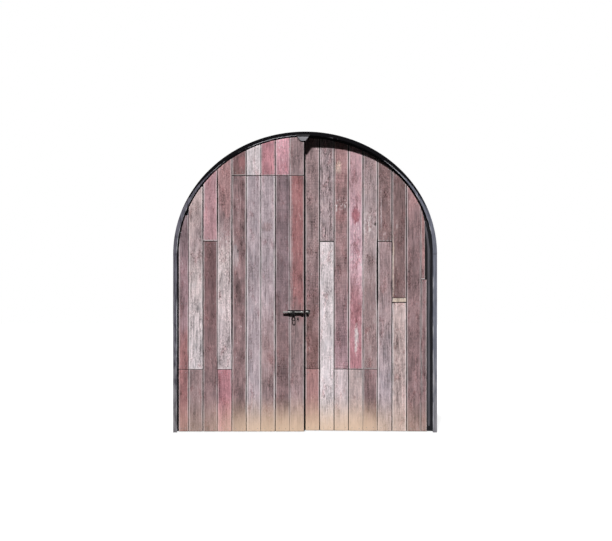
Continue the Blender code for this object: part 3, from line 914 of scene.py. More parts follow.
def eased_outline(corners: Sequence[tuple[float, float]], radius: float, steps: int = 4) -> np.ndarray:
    """Closed outline with rounded corners.

    Each corner C becomes the curve (1-t)^2 A + 2t(1-t) C + t^2 B, where A and B lie a radius away
    from it on its two sides.

    Args:
        corners: the sharp corners in order.
        radius: distance at which the rounding starts.
        steps: points on each corner.

    Returns:
        Points by 2.
    """
    corner = np.array(corners, float)
    before, after = np.roll(corner, 1, 0) - corner, np.roll(corner, -1, 0) - corner
    start = corner + radius * before / np.linalg.norm(before, axis=1, keepdims=True)
    end = corner + radius * after / np.linalg.norm(after, axis=1, keepdims=True)
    t = np.linspace(0.0, 1.0, steps)[None, :, None]
    curve = (1 - t) ** 2 * start[:, None] + 2 * t * (1 - t) * corner[:, None] + t**2 * end[:, None]
    return curve.reshape(-1, 2)


def drawn_in(outline: np.ndarray, distance: float) -> np.ndarray:
    """Moves a closed outline inwards along its normals, which come from each point's neighbours.

    Args:
        outline: points by 2.
        distance: how far.

    Returns:
        The new outline.
    """
    along = np.roll(outline, -1, 0) - np.roll(outline, 1, 0)
    normal = np.column_stack([-along[:, 1], along[:, 0]])
    normal /= np.linalg.norm(normal, axis=1, keepdims=True)
    x, y = outline.T
    turn = np.sign(np.sum(x * np.roll(y, -1) - y * np.roll(x, -1)))
    return outline + turn * distance * normal


def eased_slab(outline: np.ndarray, front: float, back: float, ease: float) -> Surface:
    """Plate: an outline carried from back to front, with rounded front and back edges.

    Args:
        outline: points across and up.
        front: depth of its front.
        back: depth of its back.
        ease: radius of the edges.

    Returns:
        The closed plate.
    """
    inset, sink = quarter_circle(ease)
    depth = np.concatenate([back - sink[::-1], front + sink])
    rows = [drawn_in(outline, distance).T for distance in (*inset[::-1], *inset)]
    return Surface.grid(np.stack([spread(x, y, z) for (x, z), y in zip(rows, depth)]))


def lathe(
    stations: Sequence[tuple[float, float]], centre: Triple, axis: int, sides: int = 32, ring: bool = False
) -> Surface:
    """Round form: stations of place along the axis and radius, carried round it.

    Args:
        stations: place along the axis and radius, in order.
        centre: a point on the axis. Its number along the axis is added to the stations.
        axis: X, Y or Z.
        sides: faces round it.
        ring: joins the last station to the first, in place of closing both ends.

    Returns:
        The closed form.
    """
    along, radius = np.array(stations, float).T[:, :, None]
    cos, sin = circle(sides)
    points = np.roll(spread(along, radius * cos, radius * sin), axis, axis=-1)
    return Surface.grid(points + np.array(centre), along=ring)


def weld_bead(start: Triple, end: Triple, normal: Triple, radius: float, seed: int) -> Surface:
    """Weld: a circle carried along a line, whose radius ripples as overlapping drops do.

    The radius is r (0.82 + 0.18 |sin(pi s / pitch)|) with a little noise, and tapers at both ends.

    Args:
        start: first end.
        end: other end.
        normal: a direction square to the line.
        radius: the largest radius.
        seed: picks the noise.

    Returns:
        The closed bead.
    """
    pitch, row_spacing, sides = 0.0045, 0.0011, 8
    first, last, out = (np.array(v, float) for v in (start, end, normal))
    length = float(np.linalg.norm(last - first))
    s = np.linspace(0.0, length, max(8, math.ceil(length / row_spacing) - 1))
    ripple = 0.82 + 0.18 * np.abs(np.sin(math.pi * s / pitch)) + 0.07 * value_noise(s / 0.006, s * 0.0, seed)
    taper = np.sqrt(np.clip(np.minimum(s, length - s) / radius, 0.02, 1.0))
    side = np.cross((last - first) / length, out)
    cos, sin = circle(sides)
    ring = cos[:, None] * out + sin[:, None] * side
    line = first + (s / length)[:, None] * (last - first)
    return Surface.grid(line[:, None] + (radius * ripple * taper)[:, None, None] * ring)


# The door

# A long and a short wave along a board's left edge and its right one: length, and the lane of noise it reads
EDGE_WAVES = (((0.23, 0.0), (0.045, 9.5)), ((0.25, 4.5), (0.05, 14.5)))
# Rings of a board screw's head: share of its radius, and depth behind the wood's face
DOME_RINGS = ((1.0, 0.0030), (1.0, 0.0004), (0.72, -0.0003), (0.30, -0.0006))
# Stations of a socket head: depth behind the plate's face, and share of its radius
SOCKET_HEAD = (
    (0.002, 1.0), (-0.0004, 1.0), (-0.0014, 0.86), (-0.0019, 0.55), (-0.0019, 0.4), (-0.0010, 0.34)
)


@dataclass(frozen=True)
class Box:
    """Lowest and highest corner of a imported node's box at rest, to a tenth of a millimetre."""

    low: np.ndarray
    high: np.ndarray

    @classmethod
    def of(cls, node: str) -> "Box":
        """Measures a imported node."""
        return cls(*(np.round(np.array(corner, float), 4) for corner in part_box(node)))

    @property
    def middle(self) -> np.ndarray:
        """Its middle."""
        return (self.low + self.high) / 2

    @property
    def size(self) -> np.ndarray:
        """Its width, depth and height."""
        return self.high - self.low


@dataclass(frozen=True)
class Door:
    """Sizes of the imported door. Those with a value can't be seen from the boxes of its nodes."""

    half_width: float
    spring: float
    rise: float
    depth: float
    rim_inset: float
    rim_front: float
    rim_back: float
    meeting_gap: float
    floor_gap: float
    board_start: float
    board_width: float
    board_pitch: float
    board_inset: float
    board_front: float
    board_back: float
    hinge_x: float
    hinge_y: float
    ajar: float
    bolt_height: float
    rod_y: float
    rod_radius: float
    face: float = 0.040
    liner: float = 0.006
    stop_depth: float = 0.022
    rim_width: float = 0.050

    @classmethod
    def packed(cls, joints: Sequence[dict]) -> "Door":
        """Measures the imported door.

        Args:
            joints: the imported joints.

        Returns:
            The door's sizes, those of the leaves from the left one, which is shut.
        """
        arch, rim, rod = map(Box.of, ("frame_arch", "left_leaf_rim", "bolt_rod"))
        first, second, last = (Box.of(f"left_board_{number}_lower") for number in (1, 2, 9))
        hinge = next(joint for joint in joints if joint["name"] == "right_leaf_hinge")
        return cls(
            half_width=arch.high[X],
            spring=arch.low[Z],
            rise=arch.size[Z],
            depth=arch.high[Y],
            rim_inset=arch.high[X] + rim.low[X],
            rim_front=rim.low[Y],
            rim_back=rim.high[Y],
            meeting_gap=-2 * rim.high[X],
            floor_gap=rim.low[Z],
            board_start=-first.high[X],
            board_width=first.size[X],
            board_pitch=first.high[X] - second.high[X],
            board_inset=arch.high[X] + last.low[X],
            board_front=first.low[Y],
            board_back=first.high[Y],
            hinge_x=hinge["pos_m"][X],
            hinge_y=hinge["pos_m"][Y],
            ajar=-math.radians(hinge["range_deg"][0]),
            bolt_height=rod.middle[Z],
            rod_y=rod.middle[Y],
            rod_radius=rod.size[Z] / 2,
        )

    @property
    def seat(self) -> float:
        """Gap at which two pieces that touch are kept apart."""
        return self.rim_front - self.board_back

    def arch(self, inset: np.ndarray | float, angle: np.ndarray | float) -> tuple[np.ndarray, np.ndarray]:
        """Point of the half ellipse, moved in by an inset, at an angle from the right spring."""
        across = (self.half_width - inset) * np.cos(angle)
        return across, self.spring + (self.rise - inset) * np.sin(angle)

    def arch_height(self, inset: float, across: np.ndarray) -> np.ndarray:
        """Height of the inset ellipse over places across the door."""
        share = np.clip(np.abs(across) / (self.half_width - inset), 0.0, 1.0)
        return self.spring + (self.rise - inset) * np.sqrt(1.0 - share**2)

    def swing(self, points: np.ndarray) -> np.ndarray:
        """Turns points of the shut right leaf about its hinge to where it stands ajar.

        Args:
            points: places, with X, Y and Z last.

        Returns:
            The new places.
        """
        x, y = points[..., X] - self.hinge_x, points[..., Y] - self.hinge_y
        cos, sin = math.cos(self.ajar), math.sin(self.ajar)
        across, depth = self.hinge_x + x * cos + y * sin, self.hinge_y - x * sin + y * cos
        return spread(across, depth, points[..., Z])


def add_piece(
    surface: Surface,
    name: str,
    body: str,
    finish: bpy.types.Material,
    nodes: Sequence[str] = (),
    uv_name: str = SECTION_UV,
) -> None:
    """Adds a dressed piece to the door.

    Args:
        surface: its shape, in the door's frame.
        name: its name.
        body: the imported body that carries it.
        finish: its material.
        nodes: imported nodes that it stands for.
        uv_name: name of its UV map.
    """
    obj = surface.piece(name, uv_name)
    obj.data.materials.append(finish)
    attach(obj, body)
    if nodes:
        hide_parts(*nodes)
    LOG.info("%s on %s: %d faces", name, body, len(obj.data.polygons))


@dataclass
class SteelFrame:
    """Welded frame: two jambs, a bent arch and the plate that stops the leaves."""

    door: Door
    plate: Box = field(default_factory=partial(Box.of, "head_stop_plate"))
    edge_ease: float = 0.0022
    edge_steps: int = 5
    arch_rows: int = 181
    jamb_rows: int = 25
    plate_foot_width: float = 0.046
    plate_corner: float = 0.004
    plate_ease: float = 0.0009
    plate_paint: float = 2.958
    weld_radius: float = 0.0022
    plate_weld_depth: float = -0.0008
    plate_weld_end: float = 0.006
    seam_weld_depth: float = 0.0009
    seam_weld_end: float = 0.002
    liner_weld_end: float = 0.003

    def build(self) -> None:
        """Builds and dresses the frame's pieces."""
        paint = FrameFinish(self.door.face).material("frame_paint")
        for side in Side:
            node = f"frame_jamb_{side.word}"
            add_piece(self._jamb(side), f"{side.word}_jamb_steel", "frame", paint, [node])
        add_piece(self._arch(), "arch_steel", "frame", paint, ["frame_arch"])
        zinc = SteelFinish(
            Tone.ZINC, Tone.ZINC_DARK, wear=0.35, rust=0.05, roughness=0.5, painted_above=self.plate_paint
        ).material("stop_plate_zinc")
        add_piece(self._stop_plate(), "crown_stop_plate", "frame", zinc, ["head_stop_plate"])
        bead = SteelFinish(Tone.RIM_DARK, Tone.PAINT_BLACK, specular=0.1).material("frame_weld_steel")
        add_piece(self._welds(), "frame_weld_beads", "frame", bead)

    def _section(self) -> np.ndarray:
        """L section with eased edges.

        Returns:
            Insets from the frame's outer edge, and depths.
        """
        d = self.door
        stop = [(d.face, 0.0), (d.face, d.stop_depth), (d.liner, d.stop_depth)]
        corners = [(0.0, 0.0), *stop, (d.liner, d.depth), (0.0, d.depth)]
        return eased_outline(corners, self.edge_ease, self.edge_steps).T

    def _jamb(self, side: Side) -> Surface:
        """Upright: the section carried straight up from the floor to the spring.

        Args:
            side: which jamb.

        Returns:
            The closed jamb.
        """
        inset, depth = self._section()
        height = np.linspace(0.0, self.door.spring - self.door.seat, self.jamb_rows)[:, None]
        points = spread(side.value * (self.door.half_width - inset), depth, height)
        return Surface.grid(points, uv=spread(inset, height))

    def _arch(self) -> Surface:
        """Bent head: each point of the section follows its own half ellipse.

        Returns:
            The closed arch.
        """
        inset, depth = self._section()
        angle = np.linspace(0.0, math.pi, self.arch_rows)[:, None]
        across, up = self.door.arch(inset, angle)
        return Surface.grid(spread(across, depth, up), uv=spread(inset, angle * self.door.rise))

    def _stop_plate(self) -> Surface:
        """Tapered plate, wider at the top.

        Returns:
            The closed plate.
        """
        (left, front, low), (right, back, high) = self.plate.low, self.plate.high
        middle, foot = self.plate.middle[X], self.plate_foot_width / 2
        corners = [(middle - foot, low), (middle + foot, low), (right, high), (left, high)]
        return eased_slab(eased_outline(corners, self.plate_corner), front, back, self.plate_ease)

    def _welds(self) -> Surface:
        """Beads over the plate's top edge and across the seams between jambs and arch.

        Returns:
            The closed beads.
        """
        d, r, front = self.door, self.weld_radius, (0, -1, 0)
        y, z = self.plate_weld_depth, self.plate.high[Z]
        left, right = self.plate.low[X] + self.plate_weld_end, self.plate.high[X] - self.plate_weld_end
        beads = [weld_bead((left, y, z), (right, y, z), front, r, seed=3)]
        for side in Side:
            outer, inner = d.half_width - self.seam_weld_end, d.half_width - d.face + self.seam_weld_end
            ends = ((side.value * x, self.seam_weld_depth, d.spring) for x in (outer, inner))
            beads.append(weld_bead(*ends, front, r, seed=5))
            liner = side.value * (d.half_width - d.liner)
            depths = (d.stop_depth + self.liner_weld_end, d.depth - self.liner_weld_end)
            ends = ((liner, depth, d.spring) for depth in depths)
            beads.append(weld_bead(*ends, (-side.value, 0, 0), r, seed=7))
        return Surface.joined(beads)


@dataclass(frozen=True)
class BoardSpec:
    """One length of board, as the function board describes it."""

    finish: BoardFinish
    end_back: float
    edge_back: float
    overhang: float


@dataclass(frozen=True)
class OpenSeam:
    """Seam that has opened with drying: its number from the meeting edge, heights and extra width."""

    number: int
    foot: float
    top: float
    width: float


@dataclass(frozen=True)
class Blank:
    """Outline of a board or sheet.

    Attributes:
        left, right, foot, level: its edges, and its lower and upper ends.
        arch: height at which an arch cuts its upper end over places across, or None.
    """

    left: float
    right: float
    foot: float
    level: float
    arch: HeightLine | None = None

    @property
    def level_length(self) -> float:
        """Length up to a level top, or 0 where the arch cuts it."""
        return 0.0 if self.arch else self.level - self.foot

    def top(self, across: np.ndarray) -> np.ndarray:
        """Height of the upper end over places across."""
        level = np.full_like(across, self.level)
        return np.minimum(self.arch(across), level) if self.arch else level

    def slab(
        self, depths: tuple[float, float], ease: float, end_ease: float, columns: int, rows: int
    ) -> Surface:
        """Closed slab with rounded edges.

        Across, front and back run from edge to edge through quarter circles at the corners. Along,
        rows run from the foot to the upper end. At both ends the front and back draw in on a
        quarter circle.

        Args:
            depths: front and back.
            ease: radius of the long edges.
            end_ease: radius of the ends.
            columns: points across the flat of the face.
            rows: rows between the eased ends.

        Returns:
            The slab, with a UV of place across and height above the foot.
        """
        width, (front, back) = self.right - self.left, depths
        (corner, sink), (from_end, pull_end) = quarter_circle(ease), quarter_circle(end_ease)
        flat = np.linspace(ease, width - ease, columns)[1:-1]
        across = np.concatenate([corner, flat, width - corner[::-1]])
        drop = np.concatenate([sink, np.zeros(len(flat)), sink[::-1]])
        middle, still = np.linspace(0.0, 1.0, rows)[1:-1], np.zeros(len(from_end))
        lift = np.concatenate([from_end, np.full(len(middle), end_ease), 2 * end_ease - from_end[::-1]])
        share = np.concatenate([still, middle, still + 1.0])
        pull = np.concatenate([pull_end, np.zeros(len(middle)), pull_end[::-1]])
        height = self.top(self.left + across) - self.foot - 2 * end_ease
        up = self.foot + lift[:, None] + share[:, None] * height
        x, inset = self.left + across, drop + pull[:, None]
        face, rear = spread(x, front + inset, up), spread(x, back - inset, up)
        points = np.concatenate([face, rear[:, ::-1]], axis=1)
        skin = Surface.grid(points, capped=False, uv=points[..., [X, Z]] - (self.left, self.foot))
        around, k = points.shape[1], np.arange(len(across) - 1)
        cap = np.column_stack([k, k + 1, around - 2 - k, around - 1 - k])
        last = (len(share) - 1) * around
        skin.quads = np.concatenate([skin.quads, skin.facing(cap), skin.facing(cap[:, ::-1] + last)])
        return skin


@dataclass
class Leaf:
    """One leaf: steel rim, plywood core in two sheets, boards and screws.

    Attributes:
        door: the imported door.
        side: which leaf it is.
        boards: its boards by the ends of their packed names, which begin with the column's number.
        seam_gaps: widths of the seams between the columns.
        open_seams: seams that are wider over a stretch.
        seed: first random number of its boards.
        bare_stile: width of the hinge stile that no board covers.
    """

    door: Door
    side: Side
    boards: dict[str, BoardSpec]
    seam_gaps: tuple[float, ...]
    open_seams: tuple[OpenSeam, ...]
    seed: int
    bare_stile: float = 0.0
    rim_ease: float = 0.003
    rim_arch_rows: int = 97
    corner_ease: float = 0.0028
    end_ease: float = 0.0014
    face_columns: int = 20
    row_spacing: float = 0.013
    least_rows: int = 6
    edge_wobble: float = 0.0003
    relief_depth: float = 0.0008
    coarse_wear: tuple[float, float] = (6.0, 0.34)
    fine_wear: tuple[float, float] = (15.0, 0.11)
    cup_depth: float = 0.0005
    seam_taper: float = 0.15
    sheet_joint: float = 2.500
    sheet_gap: float = 0.002
    sheet_tip: float = 0.012
    sheet_ease: float = 0.001
    sheet_columns: int = 61
    sheet_rows: int = 60
    screw_rows: tuple[float, ...] = (0.672, 1.288, 1.955)
    screw_radius: float = 0.0036
    screw_inset: float = 0.034
    screw_share: float = 0.3
    screw_foot: float = 0.030
    screw_top: float = 0.032
    screw_clear: float = 0.15
    screw_short: float = 0.12
    screw_scatter: float = 0.006
    screw_sides: int = 10
    core_screw_inset: float = 0.024
    core_screw_pitch: float = 0.240
    core_screw_reach: float = 0.72
    core_line_points: int = 400

    @property
    def body(self) -> str:
        """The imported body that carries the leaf."""
        return f"{self.side.word}_leaf"

    @property
    def board_edge(self) -> float:
        """Where the last column ends."""
        return self.door.half_width - self.door.board_inset - self.bare_stile

    def build(self) -> None:
        """Builds and dresses the leaf's pieces."""
        d, word = self.door, self.side.word
        # Near-black rim paint: the steel's own paint, and painted shade in the gaps round the boards where
        # only the rim shows.
        paint = SteelFinish(
            Tone.RIM_DARK, Tone.RIM_GREY, 0.45, 0.05, Noise.UPRIGHT_BRUSH, roughness=0.65, specular=0.1
        ).material(f"{word}_rim_paint")
        rim = self._set(self._rim())
        add_piece(rim, f"{word}_rim_steel", self.body, paint, [f"{word}_leaf_rim"])
        ply = PlywoodFinish((d.rim_front + d.rim_back) / 2).material(f"{word}_core_plywood")
        core = self._set(self._core())
        add_piece(core, f"{word}_core_sheets", self.body, ply, [f"{word}_leaf_core"])
        self._build_boards()
        black = SteelFinish(Tone.IRON, Tone.STEEL_DARK, wear=0.4, metallic=0.2, roughness=0.5)
        black = black.material(f"{word}_core_screw_steel")
        screws = self._set(self._screws(self._core_screw_places(), d.rim_back, -1.0))
        add_piece(screws, f"{word}_core_screws", self.body, black)

    def _set(self, surface: Surface) -> Surface:
        """Puts a shut leaf's piece where the leaf stands."""
        return surface.moved(self.door.swing) if self.side is Side.RIGHT else surface

    def _line(self, border: np.ndarray, count: int) -> tuple[np.ndarray, np.ndarray]:
        """Line inside the leaf's edge: hinge foot, inset ellipse up to the meeting edge, meeting foot.

        Args:
            border: distances from the edge.
            count: points on the ellipse.

        Returns:
            Across and up, points by borders, as if the leaf were the right one.
        """
        d = self.door
        inset, meeting, foot = d.rim_inset + border, d.meeting_gap / 2 + border, d.floor_gap + border
        share = np.linspace(0.0, 1.0, count)[:, None]
        across, up = d.arch(inset, share * np.arccos(meeting / (d.half_width - inset)))
        return np.vstack([d.half_width - inset, across, meeting]), np.vstack([foot, up, foot])

    def _rim(self) -> Surface:
        """Closed rim: a rounded bar section carried round the leaf's outline, mitred at its corners.

        Each point of the section follows the line at its own distance from the leaf's edge.

        Returns:
            The rim of the shut leaf.
        """
        d = self.door
        section = rectangle(0.0, d.rim_width, d.rim_front, d.rim_back)
        border, depth = eased_outline(section, self.rim_ease).T
        across, up = self._line(border, self.rim_arch_rows)
        return Surface.grid(spread(self.side.value * across, depth, up), along=True)

    def _core(self) -> Surface:
        """Plywood in two sheets, with a seam across where the lower sheet ends.

        Returns:
            The sheets, with a UV of the distance inside the arch and the depth.
        """
        d = self.door
        wide = d.rim_width + d.seat
        inset, inner, foot = d.rim_inset + wide, d.meeting_gap / 2 + wide, d.floor_gap + wide
        half_width, rise = d.half_width - inset, d.rise - inset
        share = (self.sheet_joint + self.sheet_tip - d.spring) / rise
        reach = half_width * math.sqrt(1.0 - share**2)
        arch = partial(d.arch_height, inset)
        sheets = []
        for far, low, level in (
            (half_width, foot, self.sheet_joint),
            (reach, self.sheet_joint + self.sheet_gap, math.inf),
        ):
            left, right = sorted((self.side.value * inner, self.side.value * far))
            blank, depths = Blank(left, right, low, level, arch), (d.rim_front, d.rim_back)
            sheets.append(
                blank.slab(depths, self.sheet_ease, self.end_ease, self.sheet_columns, self.sheet_rows)
            )
        core = Surface.joined(sheets)
        x, y, z = core.points.T
        border = (1.0 - np.hypot(x / half_width, np.clip(z - d.spring, 0.0, None) / rise)) * rise
        core.uv = np.column_stack([border, y])
        return core

    def _build_boards(self) -> None:
        """Builds each board and the screws through it."""
        word = self.side.word
        heads: list[np.ndarray] = []
        for place, spec in self.boards.items():
            column, _, level = place.partition("_")
            number, node = int(column), f"{word}_board_{place}"
            seed = self.seed + 10 * number + len(place) - len(column)
            blank = self._blank(node, number, spec, arched=level in ("", "upper"))
            surface = self._set(self._board(blank, spec, number, seed))
            width = blank.right - blank.left
            wood = spec.finish.material(f"{node}_wood", width, blank.level_length, seed)
            add_piece(surface, f"{node}_plank", self.body, wood, [node], BOARD_UV)
            heads.append(self._screw_places(blank, seed))
        zinc = SteelFinish(Tone.ZINC, Tone.STEEL_DARK, rust=0.2, metallic=0.3, roughness=0.5)
        zinc = zinc.material(f"{word}_screw_zinc")
        screws = self._set(self._screws(np.concatenate(heads), self.door.board_front, 1.0))
        add_piece(screws, f"{word}_board_screws", self.body, zinc)

    def _blank(self, node: str, number: int, spec: BoardSpec, arched: bool) -> Blank:
        """Outline of a board of the shut leaf.

        Args:
            node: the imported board.
            number: its column, from the meeting edge.
            spec: what it is.
            arched: whether the arch cuts its upper end.

        Returns:
            The outline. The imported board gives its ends.
        """
        d = self.door
        near = d.board_start + (number - 1) * d.board_pitch
        far = min(near + d.board_width, self.board_edge)
        far += spec.overhang if far == self.board_edge else 0.0
        left, right = sorted((self.side.value * near, self.side.value * far))
        box, corner = Box.of(node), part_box(node)[1][Z]
        if arched:
            return Blank(left, right, box.low[Z], corner, partial(d.arch_height, d.board_inset))
        return Blank(left, right, box.low[Z], box.high[Z] - spec.end_back)

    def _seam(self, number: int, height: np.ndarray) -> np.ndarray:
        """How far a board's edge draws back from a seam, so that half of the seam's own gap is left.

        Args:
            number: the seam, from the meeting edge.
            height: heights along it.

        Returns:
            The distance at each height.
        """
        usual = self.door.board_pitch - self.door.board_width
        gap = self.seam_gaps[number - 1] if 0 < number <= len(self.seam_gaps) else usual
        back = np.full_like(height, (gap - usual) / 2)
        for seam in self.open_seams:
            if seam.number == number:
                ends = (height - seam.foot, seam.top - height)
                below, above = (np.clip(distance / self.seam_taper, 0.0, 1.0) for distance in ends)
                back = back + 0.5 * seam.width * below * above
        return back

    def _board(self, blank: Blank, spec: BoardSpec, number: int, seed: int) -> Surface:
        """One board: a slab whose edges wander and whose face is cupped and worn between its grain.

        An edge draws back from its seam, and wanders by a long wave of noise and 0.6 of a short one.
        The face sinks by two scales of noise, and by the square of the distance from its middle.

        Args:
            blank: its outline.
            spec: what it is.
            number: its column, from the meeting edge.
            seed: picks its noise.

        Returns:
            The closed board.
        """
        d, left, right = self.door, blank.left, blank.right
        length = blank.top(np.array([left, right, 0.5 * (left + right)])).max() - blank.foot
        rows = max(self.least_rows, int(length / self.row_spacing))
        depths = (d.board_front, d.board_back)
        surface = blank.slab(depths, self.corner_ease, self.end_ease, self.face_columns, rows)
        x, y, z = surface.points.T
        share = (x - left) / (right - left)
        inner, outer = self._seam(number - 1, z), self._seam(number, z)
        if number > len(self.seam_gaps):
            outer = np.full_like(z, spec.edge_back)
        backs = (outer, inner) if self.side is Side.LEFT else (inner, outer)
        for weight, back, waves in zip((1.0 - share, -share), backs, EDGE_WAVES):
            slow, quick = (value_noise(z / wave, np.full_like(z, lane), seed) for wave, lane in waves)
            x = x + weight * (back + self.edge_wobble * (slow + 0.6 * quick))
        scales = (self.coarse_wear, self.fine_wear)
        coarse, fine = (value_noise(share * n, z / wave, seed + i) for i, (n, wave) in enumerate(scales, 1))
        relief = self.relief_depth * (0.5 + 0.3 * coarse + 0.2 * fine)
        relief = relief + self.cup_depth * (2.0 * share - 1.0) ** 2
        y = np.where(y < (d.board_front + d.board_back) / 2, y + relief, y)
        surface.points = np.column_stack([x, y, z])
        return surface

    def _screw_places(self, blank: Blank, seed: int) -> np.ndarray:
        """Places of a board's screws: pairs near both ends and at the rows between, a little uneven.

        Args:
            blank: the board's outline.
            seed: picks the scatter.

        Returns:
            Across and up for each screw.
        """
        inset = min(self.screw_inset, self.screw_share * (blank.right - blank.left))
        across = np.array([blank.left + inset, blank.right - inset])
        heads, foot = blank.top(across) - self.screw_top, blank.foot
        highest = heads.min()
        clear = (foot + self.screw_clear, highest - self.screw_clear)
        rows = [np.full(2, row) for row in self.screw_rows if clear[0] < row < clear[1]]
        heights = [np.full(2, foot + self.screw_foot), *rows]
        if highest - foot > self.screw_short:
            heights.append(heads)
        place = np.column_stack([np.tile(across, len(heights)), np.concatenate(heights)])
        scatter = np.random.default_rng(seed + 3)
        return place + scatter.uniform(-self.screw_scatter, self.screw_scatter, place.shape)

    def _core_screw_places(self) -> np.ndarray:
        """Places of the core's screws: evenly along a line inside its edge, and over its sheets' seam.

        The line closes along the foot, and its length is measured along short chords.

        Returns:
            Across and up for each screw.
        """
        pitch, joint = self.core_screw_pitch, self.sheet_joint
        border = np.array([self.door.rim_width + self.core_screw_inset])
        line = self._line(border, self.core_line_points)
        across, up = (np.append(places, places[0]) for places in line)
        reach, meeting = across[0], across[-2]
        length = np.concatenate([[0.0], np.cumsum(np.hypot(np.diff(across), np.diff(up)))])
        at = np.linspace(0.0, length[-1], round(length[-1] / pitch), endpoint=False)
        ring = np.column_stack([np.interp(at, length, across), np.interp(at, length, up)])
        row = np.arange(meeting + pitch / 2, self.core_screw_reach * reach, pitch)
        heights = np.repeat([joint - self.core_screw_inset, joint + self.core_screw_inset], len(row))
        places = np.concatenate([ring, np.column_stack([np.tile(row, 2), heights])])
        places[:, 0] *= self.side.value
        return places

    def _screws(self, places: np.ndarray, depth: float, facing: float) -> Surface:
        """Low domed heads: one dome, repeated at each place.

        A dome's rings run from the wood up a quarter ellipse to a small flat at the top.

        Args:
            places: across and up for each head.
            depth: depth of the wood's face.
            facing: 1 for heads on a front, -1 for heads on a back.

        Returns:
            The heads.
        """
        share, behind = np.array(DOME_RINGS).T[:, :, None]
        cos, sin = circle(self.screw_sides)
        radius = self.screw_radius * share
        dome = Surface.grid(spread(radius * cos, depth + facing * behind, radius * sin))
        return dome.repeated(spread(places[:, 0], 0.0, places[:, 1]))


@dataclass
class BarrelHinges:
    """Weld-on barrel hinges: pin halves on the frame, socket halves on the leaves."""

    door: Door
    radius: float = 0.011
    length: float = 0.060
    pin_radius: float = 0.006
    pin_length: float = 0.050
    pin_gap: float = 0.0003
    ease: float = 0.0012
    groove_at: float = 0.017
    groove_half_width: float = 0.001
    groove_depth: float = 0.0006
    weld: float = 0.003
    weld_end: float = 0.004
    weld_sink: float = 0.001
    pin_weld_spread: float = 0.0085
    socket_weld_spread: float = 0.0092
    socket_weld_foot: float = 0.005

    def build(self) -> None:
        """Builds both halves of each hinge with their welds."""
        iron = SteelFinish(Tone.IRON, Tone.RIM_GREY, 0.45, 0.12, Noise.TURNED_BRUSH, 0.4, 0.5)
        iron = iron.material("hinge_iron")
        for side in Side:
            for place in ("lower", "upper"):
                node = f"{side.word}_{place}_hinge"
                pin_node, socket_node = f"{node}_pin_half", f"{node}_socket_half"
                height = Box.of(pin_node).low[Z] + self.length
                pin, socket = self._pin_half(side, height), self._socket_half(side, height)
                if side is Side.RIGHT:
                    socket = socket.moved(self.door.swing)
                add_piece(pin, f"{node}_pin_barrel", "frame", iron, [pin_node])
                leaf = f"{side.word}_leaf"
                add_piece(socket, f"{node}_socket_barrel", leaf, iron, [socket_node])

    def _groove(self, at: float) -> list[tuple[float, float]]:
        """Stations of a turned groove round a barrel."""
        half, r = self.groove_half_width, self.radius
        return [(at - half, r), (at, r - self.groove_depth), (at + half, r)]

    def _pin_half(self, side: Side, height: float) -> Surface:
        """Lower barrel with the pin standing on it, welded to the liner.

        Args:
            side: the leaf that it carries.
            height: where the halves meet.

        Returns:
            The closed half.
        """
        d, r, e, pin, foot = self.door, self.radius, self.ease, self.pin_radius, -self.length
        stations = [(foot, r - e), (foot + e, r), *self._groove(foot + self.groove_at), (-e, r), (0.0, r - e)]
        stations += [(0.0, pin), (self.pin_length - e, pin), (self.pin_length, pin - e)]
        parts = [lathe(stations, (side.value * d.hinge_x, d.hinge_y, height), Z)]
        x = side.value * (d.half_width - d.liner - self.weld_sink)
        heights = (height + foot + self.weld_end, height - self.weld_end)
        for y in (d.hinge_y - self.pin_weld_spread, d.hinge_y + self.pin_weld_spread):
            ends = ((x, y, z) for z in heights)
            parts.append(weld_bead(*ends, (-side.value, 0, 0), self.weld, seed=11))
        return Surface.joined(parts)

    def _socket_half(self, side: Side, height: float) -> Surface:
        """Upper barrel with the pin's hole in it, welded to the back of the rim.

        Args:
            side: the leaf that it carries.
            height: where the halves meet.

        Returns:
            The closed half, on the shut leaf.
        """
        d, r, e, seat = self.door, self.radius, self.ease, self.door.seat
        hole, top = self.pin_radius + self.pin_gap, seat + self.length
        stations = [(self.pin_length + seat, hole), (seat, hole), (seat, r - e), (seat + e, r)]
        stations += [*self._groove(self.length - self.groove_at), (top - e, r), (top, r - e)]
        barrel = lathe(stations, (side.value * d.hinge_x, d.hinge_y, height), Z)
        x, y = side.value * (d.hinge_x - self.socket_weld_spread), d.rim_back + self.weld_sink
        heights = (height + self.socket_weld_foot, height + self.length - self.weld_end)
        ends = ((x, y, z) for z in heights)
        return Surface.joined([barrel, weld_bead(*ends, (0, 1, 0), self.weld, seed=13)])


